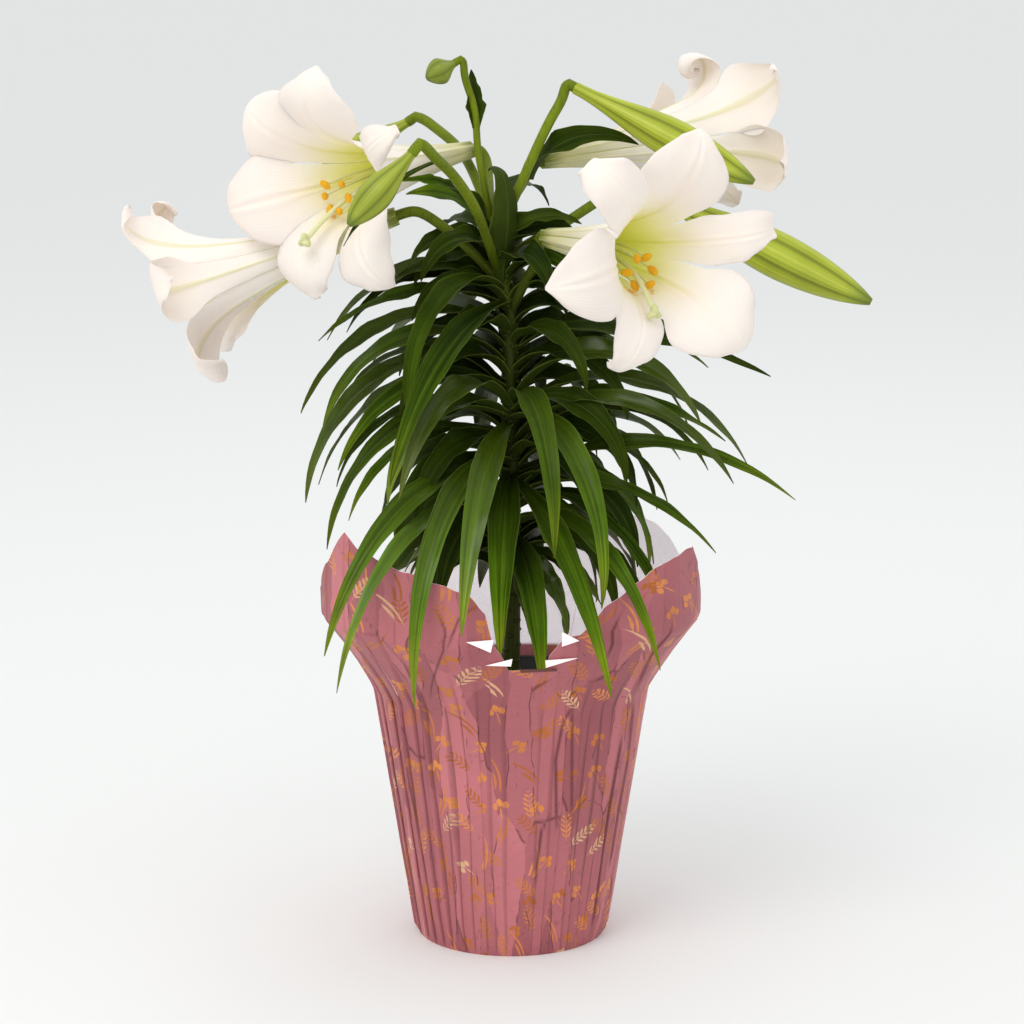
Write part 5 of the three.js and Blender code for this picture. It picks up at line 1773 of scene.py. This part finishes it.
@dataclass
class StamenSet:
    """The stamens and the three-lobed stigma of one flower, on one base in its throat."""

    flower: Flower
    count: int = 6
    foot: float = 7
    length: float = 116
    style: float = 138
    anther: float = 7.6
    anther_sides: int = 20

    def path(self, angle: float, length: float, spread: float, fall: float, aside: float) -> np.ndarray:
        """Points along a filament or the style, drooping and swaying from the flower's axis."""
        u = np.linspace(0, 1, 25)
        radius = lerp(1.6, spread, u**1.4)
        x = radius * math.cos(angle) - fall * u**3.5
        y = radius * math.sin(angle) + aside * u**3.5
        return np.stack([x, y, lerp(self.foot, length * self.flower.reach, u)], axis=1)

    def filaments(self) -> list[np.ndarray]:
        """The path of each filament."""
        bends = (self.flower.spread, self.flower.droop, self.flower.sway)
        angles = [TAU * (k + 0.5) / self.count for k in range(self.count)]
        return [self.path(angle, self.length - 6 * draw(k, 7), *bends) for k, angle in enumerate(angles)]

    def style_path(self, length: float) -> np.ndarray:
        """The path of the style, so long."""
        return self.path(0, length, 0, self.flower.style_droop, self.flower.style_sway)

    def build_threads(self, material: bpy.types.Material, tree: bpy.types.NodeTree) -> bpy.types.Object:
        """Makes the filaments, the style and the base of them all, sweeps along their paths."""
        threads = [(path, np.linspace(1.0, 0.55, len(path))) for path in self.filaments()]
        style = self.style_path(self.style - 2)
        threads.append((style, np.linspace(1.2, 1.6, len(style))))
        threads.append((np.array([[0, 0, 1.7], [0, 0, 6], [0, 0, 10.7]]), np.array([1.8, 2.3, 1.9])))
        threads = [(self.flower.place(path), radii) for path, radii in threads]
        return line_piece(f"filaments_{self.flower.name}", threads, material, tree, 10)

    def build_stigma(self, material: bpy.types.Material) -> bpy.types.Object:
        """Makes the stigma: three rounded lobes with a crease between each two."""
        angles = around(48)
        swell = 0.5 + 0.5 * np.cos(3 * angles)
        rings = []
        for share in np.linspace(0, 1, 13):
            size = math.sin(math.pi * (0.12 + 0.86 * share)) ** 0.7
            height = lerp(-4.2, 2.2, share) - 0.8 * (1 - swell) * smooth(share, 0.5, 1)
            rings.append(ring(size * lerp(2.6, 5.0, swell**0.8), angles, height))
        shell = Shell()
        shell.skin(self.flower.place(np.array(rings) + self.style_path(self.style)[-1]))
        return shell.build(f"stigma_{self.flower.name}", material)

    def build_anthers(self, material: bpy.types.Material) -> bpy.types.Object:
        """Makes the anthers: grooved oblongs dusty with pollen, hung by their middle."""
        shell = Shell()
        angles = around(self.anther_sides)
        cleft = 1 - 0.28 * bell(angles - TAU / 4, 0.35)
        share = np.linspace(0.03, 0.97, 14)[:, None]
        size = np.sin(math.pi * share) ** 0.55
        x = lerp(-self.anther / 2, self.anther / 2, share)
        y, z = 2.3 * size * np.cos(angles) * cleft, 2.1 * size * np.sin(angles) * cleft
        rings = np.stack(np.broadcast_arrays(x, y, z), axis=-1)
        for k, path in enumerate(self.filaments()):
            turn = Matrix.Rotation(TAU * draw(k, 8), 3, "Z") @ Matrix.Rotation(-0.5, 3, "Y")
            shell.skin(self.flower.place(rings @ np.array(turn).T + path[-1] + (0, 0, 0.4)))
        return shell.build(f"anthers_{self.flower.name}", material)


# Buds

@dataclass(frozen=True)
class Bud:
    """A closed bud: six ribbed petals wrapped round each other, slim at the foot and drawn out to a tip."""

    name: str
    base: Row
    tip: Row
    radius: float
    stalk: tuple[Row, ...]
    fullest: float = 0.58
    tone: float = 0.0
    twist: float = 9.0
    sides: int = 96
    fine_ribs: int = 30

    def build(self, material: bpy.types.Material) -> bpy.types.Object:
        """Makes the bud."""
        axis = np.subtract(self.tip, self.base)
        length = float(np.linalg.norm(axis))
        rounding = 0.9 + 0.099 * np.sin(np.linspace(0, math.pi / 2, 12)[1:])
        u = np.concatenate([np.linspace(0, 0.9, 46), rounding])[:, None]
        angles = around(self.sides)
        swell, deep = (0.5 + 0.5 * np.cos(count * angles) for count in (6, 3))
        past = np.maximum(u - self.fullest, 0) / (1.02 - self.fullest)
        girth = lerp(0.3, 1, smooth(u, 0, self.fullest)) * (1 - past**1.9) ** 0.8
        shape = 0.93 + 0.07 * swell**0.7 - 0.04 * (1 - deep) * swell * smooth(u, 0.5, 0.9)
        shape = shape + 0.012 * np.cos(self.fine_ribs * angles) * smooth(u, 0.1, 0.5)
        rings = ring(self.radius * girth * shape, angles + math.radians(self.twist) * u, u * length)
        spin = Vector((0, 0, 1)).rotation_difference(Vector(axis)).to_matrix()
        marks = {"along": u, "swell": swell, "around": angles / TAU, "tone": self.tone}
        marks = {name: np.broadcast_to(values, rings.shape[:2]) for name, values in marks.items()}
        shell = Shell()
        shell.skin(rings @ np.array(spin).T + np.array(self.base), **marks)
        return shell.build(f"bud_petals_{self.name}", material)


BUDS = (
    Bud(
        "upper_right", (39, 15, 529), (147, -10, 474), 13,
        ((-10, 4, 438), (0, 6, 458), (12, 8, 485), (24, 12, 510), (33, 15, 526)),
    ),
    Bud(
        "right", (88, 32, 463), (221, 4, 399), 15,
        ((-7, 3, 424), (10, 12, 434), (33, 20, 446), (60, 28, 462), (78, 33, 467)),
    ),
    Bud(
        "left", (-56, -108, 501), (-93, -118, 460), 10,
        ((-8, 0, 418), (-14, -24, 440), (-22, -48, 464), (-35, -74, 486), (-47, -98, 500)), tone=0.35,
    ),
    Bud(
        "top", (-34, -4, 545), (-51, -8, 536), 8.2,
        ((-11, 4, 444), (-15, 0, 464), (-20, -4, 492), (-22, -4, 518), (-29, -4, 541)), 0.5, tone=0.65,
    ),
    Bud(
        "upper_left", (-64, 88, 503), (-122, 104, 470), 10,
        ((-11, 4, 440), (-18, 34, 462), (-33, 68, 488), (-53, 85, 503)), tone=0.2,
    ),
)


# Studio

def aim(name: str, data: Any, target: Vector, way: tuple[float, float], distance: float) -> bpy.types.Object:
    """Links a light or camera and turns it to a target.

    Args:
        name: The object's name.
        data: The light or camera.
        target: What it looks at.
        way: The heading and elevation that it stands at, seen from the target.
        distance: How far off it stands, in metres.

    Returns:
        The object.
    """
    rise = math.radians(way[1])
    level = outward(way[0]) * math.cos(rise)
    away = Vector((level[0], level[1], math.sin(rise)))
    placed = bpy.data.objects.new(name, data)
    placed.location = target + away * distance
    placed.rotation_mode = "QUATERNION"
    placed.rotation_quaternion = away.to_track_quat("Z", "Y")
    bpy.context.collection.objects.link(placed)
    return placed


@dataclass(frozen=True)
class AreaLight:
    """A soft square light by its heading, elevation, distance, size, power and colour."""

    name: str
    heading: float
    elevation: float
    distance: float
    size: float
    watts: float
    colour: Colour = (1.0, 1.0, 1.0)

    def build(self, target: Vector) -> None:
        """Hangs the light, turned to the target."""
        light = bpy.data.lights.new(self.name, "AREA")
        light.shape, light.size, light.energy, light.color = "SQUARE", self.size, self.watts, self.colour
        aim(self.name, light, target, (self.heading, self.elevation), self.distance)


@dataclass
class Studio:
    """A pale floor, a pale sky, soft lights, and the camera where the photo was taken from."""

    target: tuple[float, float, float] = (0.0006, 0.0, 0.2686)
    distance: float = 2.0
    elevation: float = 11.5
    lens: float = 113.4
    sensor: float = 36
    far: float = 200
    floor_size: float = 60.0
    floor_colour: Colour = (0.80, 0.81, 0.81)
    sky: Colour = (0.97, 0.985, 0.98)
    sky_strength: float = 0.97
    lights: tuple[AreaLight, ...] = (
        AreaLight("key", -32, 48, 2.2, 1.2, 16, (1.0, 0.97, 0.93)),
        AreaLight("fill", 50, 20, 2.6, 1.8, 3, (1.0, 0.98, 0.96)),
        AreaLight("rim", 165, 50, 2.4, 1.4, 5),
    )

    def build(self) -> None:
        """Sets up everything but the plant."""
        target = Vector(self.target)
        self.lay_floor()
        self.hang_sky()
        for light in self.lights:
            light.build(target)
        camera = bpy.data.cameras.new("camera")
        camera.lens, camera.sensor_width, camera.clip_end = self.lens, self.sensor, self.far
        scene = bpy.context.scene
        scene.camera = aim("camera", camera, target, (0, self.elevation), self.distance)
        scene.view_settings.view_transform = "Standard"
        scene.view_settings.look = "None"

    def lay_floor(self) -> None:
        """Lays the floor, which isn't part of the object."""
        half = self.floor_size / 2 / MM
        corners = [(-half, -half, 0), (half, -half, 0), (half, half, 0), (-half, half, 0)]
        floor = new_piece("floor", corners, faces=[(0, 1, 2, 3)])
        looks = {"Base Color": opaque(self.floor_colour), "Roughness": 0.9, "Specular IOR Level": 0.1}
        floor.data.materials.append(Paint("pale_floor", looks).material)

    def hang_sky(self) -> None:
        """Fills the world with even pale light."""
        world = bpy.data.worlds.new("sky")
        world.use_nodes = True
        background = world.node_tree.nodes["Background"]
        background.inputs[0].default_value = opaque(self.sky)
        background.inputs[1].default_value = self.sky_strength
        bpy.context.scene.world = world


def dress_pot(kit: ShaderKit) -> None:
    """Makes the cover, the pot, the mix and the bulb."""
    declare(PaperCover().build(kit, pleat_tree()), Slot.PAPER, "paper_cover")
    plastic = PlainFinish(
        "black_plastic", (0.010, 0.011, 0.010), (0.020, 0.022, 0.020),
        rough=0.42, patch=90, grain=1400, bump=0.03,
    )
    pot = NurseryPot()
    declare(pot.build(plastic.make(kit)), Slot.PLASTIC, "nursery_pot")
    soil = SoilBed(pot)
    mix = PlainFinish(
        "potting_mix", (0.018, 0.010, 0.006), (0.060, 0.035, 0.022),
        rough=0.95, patch=300, grain=1800, bump=1.2,
    )
    declare(soil.build(mix.make(kit)), Slot.MIX, "potting_mix")
    strewing = scatter_tree()
    bark = PlainFinish(
        "bark_chips", (0.035, 0.018, 0.009), (0.110, 0.060, 0.030),
        rough=0.9, patch=500, grain=1500, bump=0.6,
    )
    perlite = PlainFinish(
        "perlite", (0.55, 0.53, 0.49), (0.75, 0.73, 0.69),
        rough=0.8, patch=600, grain=2000, bump=0.4,
    )
    bits = ((bark, 26000.0, 2.3, 0.45, 4), (perlite, 3200.0, 1.3, 0.9, 9))
    for finish, density, size, flatness, seed in bits:
        values = {"Density": density, "Size": size * MM, "Flatness": flatness, "Seed": seed}
        piece = soil.strewn(finish.name, strewing, {**values, "Material": finish.make(kit)})
        declare(piece, Slot.MIX, "potting_mix")
    scales = PlainFinish(
        "bulb_scale", (0.45, 0.36, 0.19), (0.72, 0.63, 0.42),
        rough=0.55, patch=60, grain=800, bump=0.2, glow=0.1,
    )
    declare(soil.bulb(scales.make(kit)), Slot.SCALES, "bulb")


def dress_plant(kit: ShaderKit) -> None:
    """Makes the leaves, the stem with its stalks, the flowers and the buds."""
    foliage = Foliage()
    green, sweep = StalkFinish().make(kit), stalk_tree()
    stalks = [Stalk(flower.stalk, flower.base, flower.axis) for flower in FLOWERS]
    stalks += [Stalk(bud.stalk, bud.base, tuple(np.subtract(bud.tip, bud.base))) for bud in BUDS]
    declare(foliage.build_leaves(LeafFinish().make(kit)), Slot.GREEN, "leafy_stem")
    declare(foliage.build_stalks(stalks, green, sweep), Slot.GREEN, "leafy_stem")
    declare(foliage.build_scars(green, scar_tree()), Slot.GREEN, "leafy_stem")
    white = PetalFinish().make(kit)
    thread = PlainFinish(
        "filament", (0.62, 0.66, 0.30), (0.80, 0.80, 0.55),
        rough=0.45, patch=40, grain=900, bump=0.05, glow=0.15,
    )
    tip = PlainFinish(
        "stigma", (0.50, 0.55, 0.20), (0.72, 0.72, 0.42),
        rough=0.35, patch=200, grain=1500, bump=0.1, glow=0.15,
    )
    pollen = PlainFinish(
        "pollen", (0.92, 0.36, 0.006), (1.0, 0.62, 0.014),
        rough=0.85, patch=300, grain=4200, bump=0.5,
    )
    threads, tips, dust = thread.make(kit), tip.make(kit), pollen.make(kit)
    for flower in FLOWERS:
        declare(Trumpet(flower).build(white), Slot.WHITE, f"flower_{flower.name}")
        stamens = StamenSet(flower)
        for piece in (
            stamens.build_threads(threads, sweep), stamens.build_stigma(tips), stamens.build_anthers(dust),
        ):
            declare(piece, Slot.YELLOW, f"stamens_{flower.name}")
    ribbed = BudFinish().make(kit)
    for bud in BUDS:
        declare(bud.build(ribbed), Slot.BUD, f"bud_{bud.name}")


def main() -> None:
    """Builds the studio and every piece."""
    logging.basicConfig(level=logging.INFO, format="%(name)s %(message)s")
    Studio().build()
    kit = ShaderKit()
    dress_pot(kit)
    dress_plant(kit)
    bpy.context.view_layer.update()


if __name__ == "__main__":
    main()
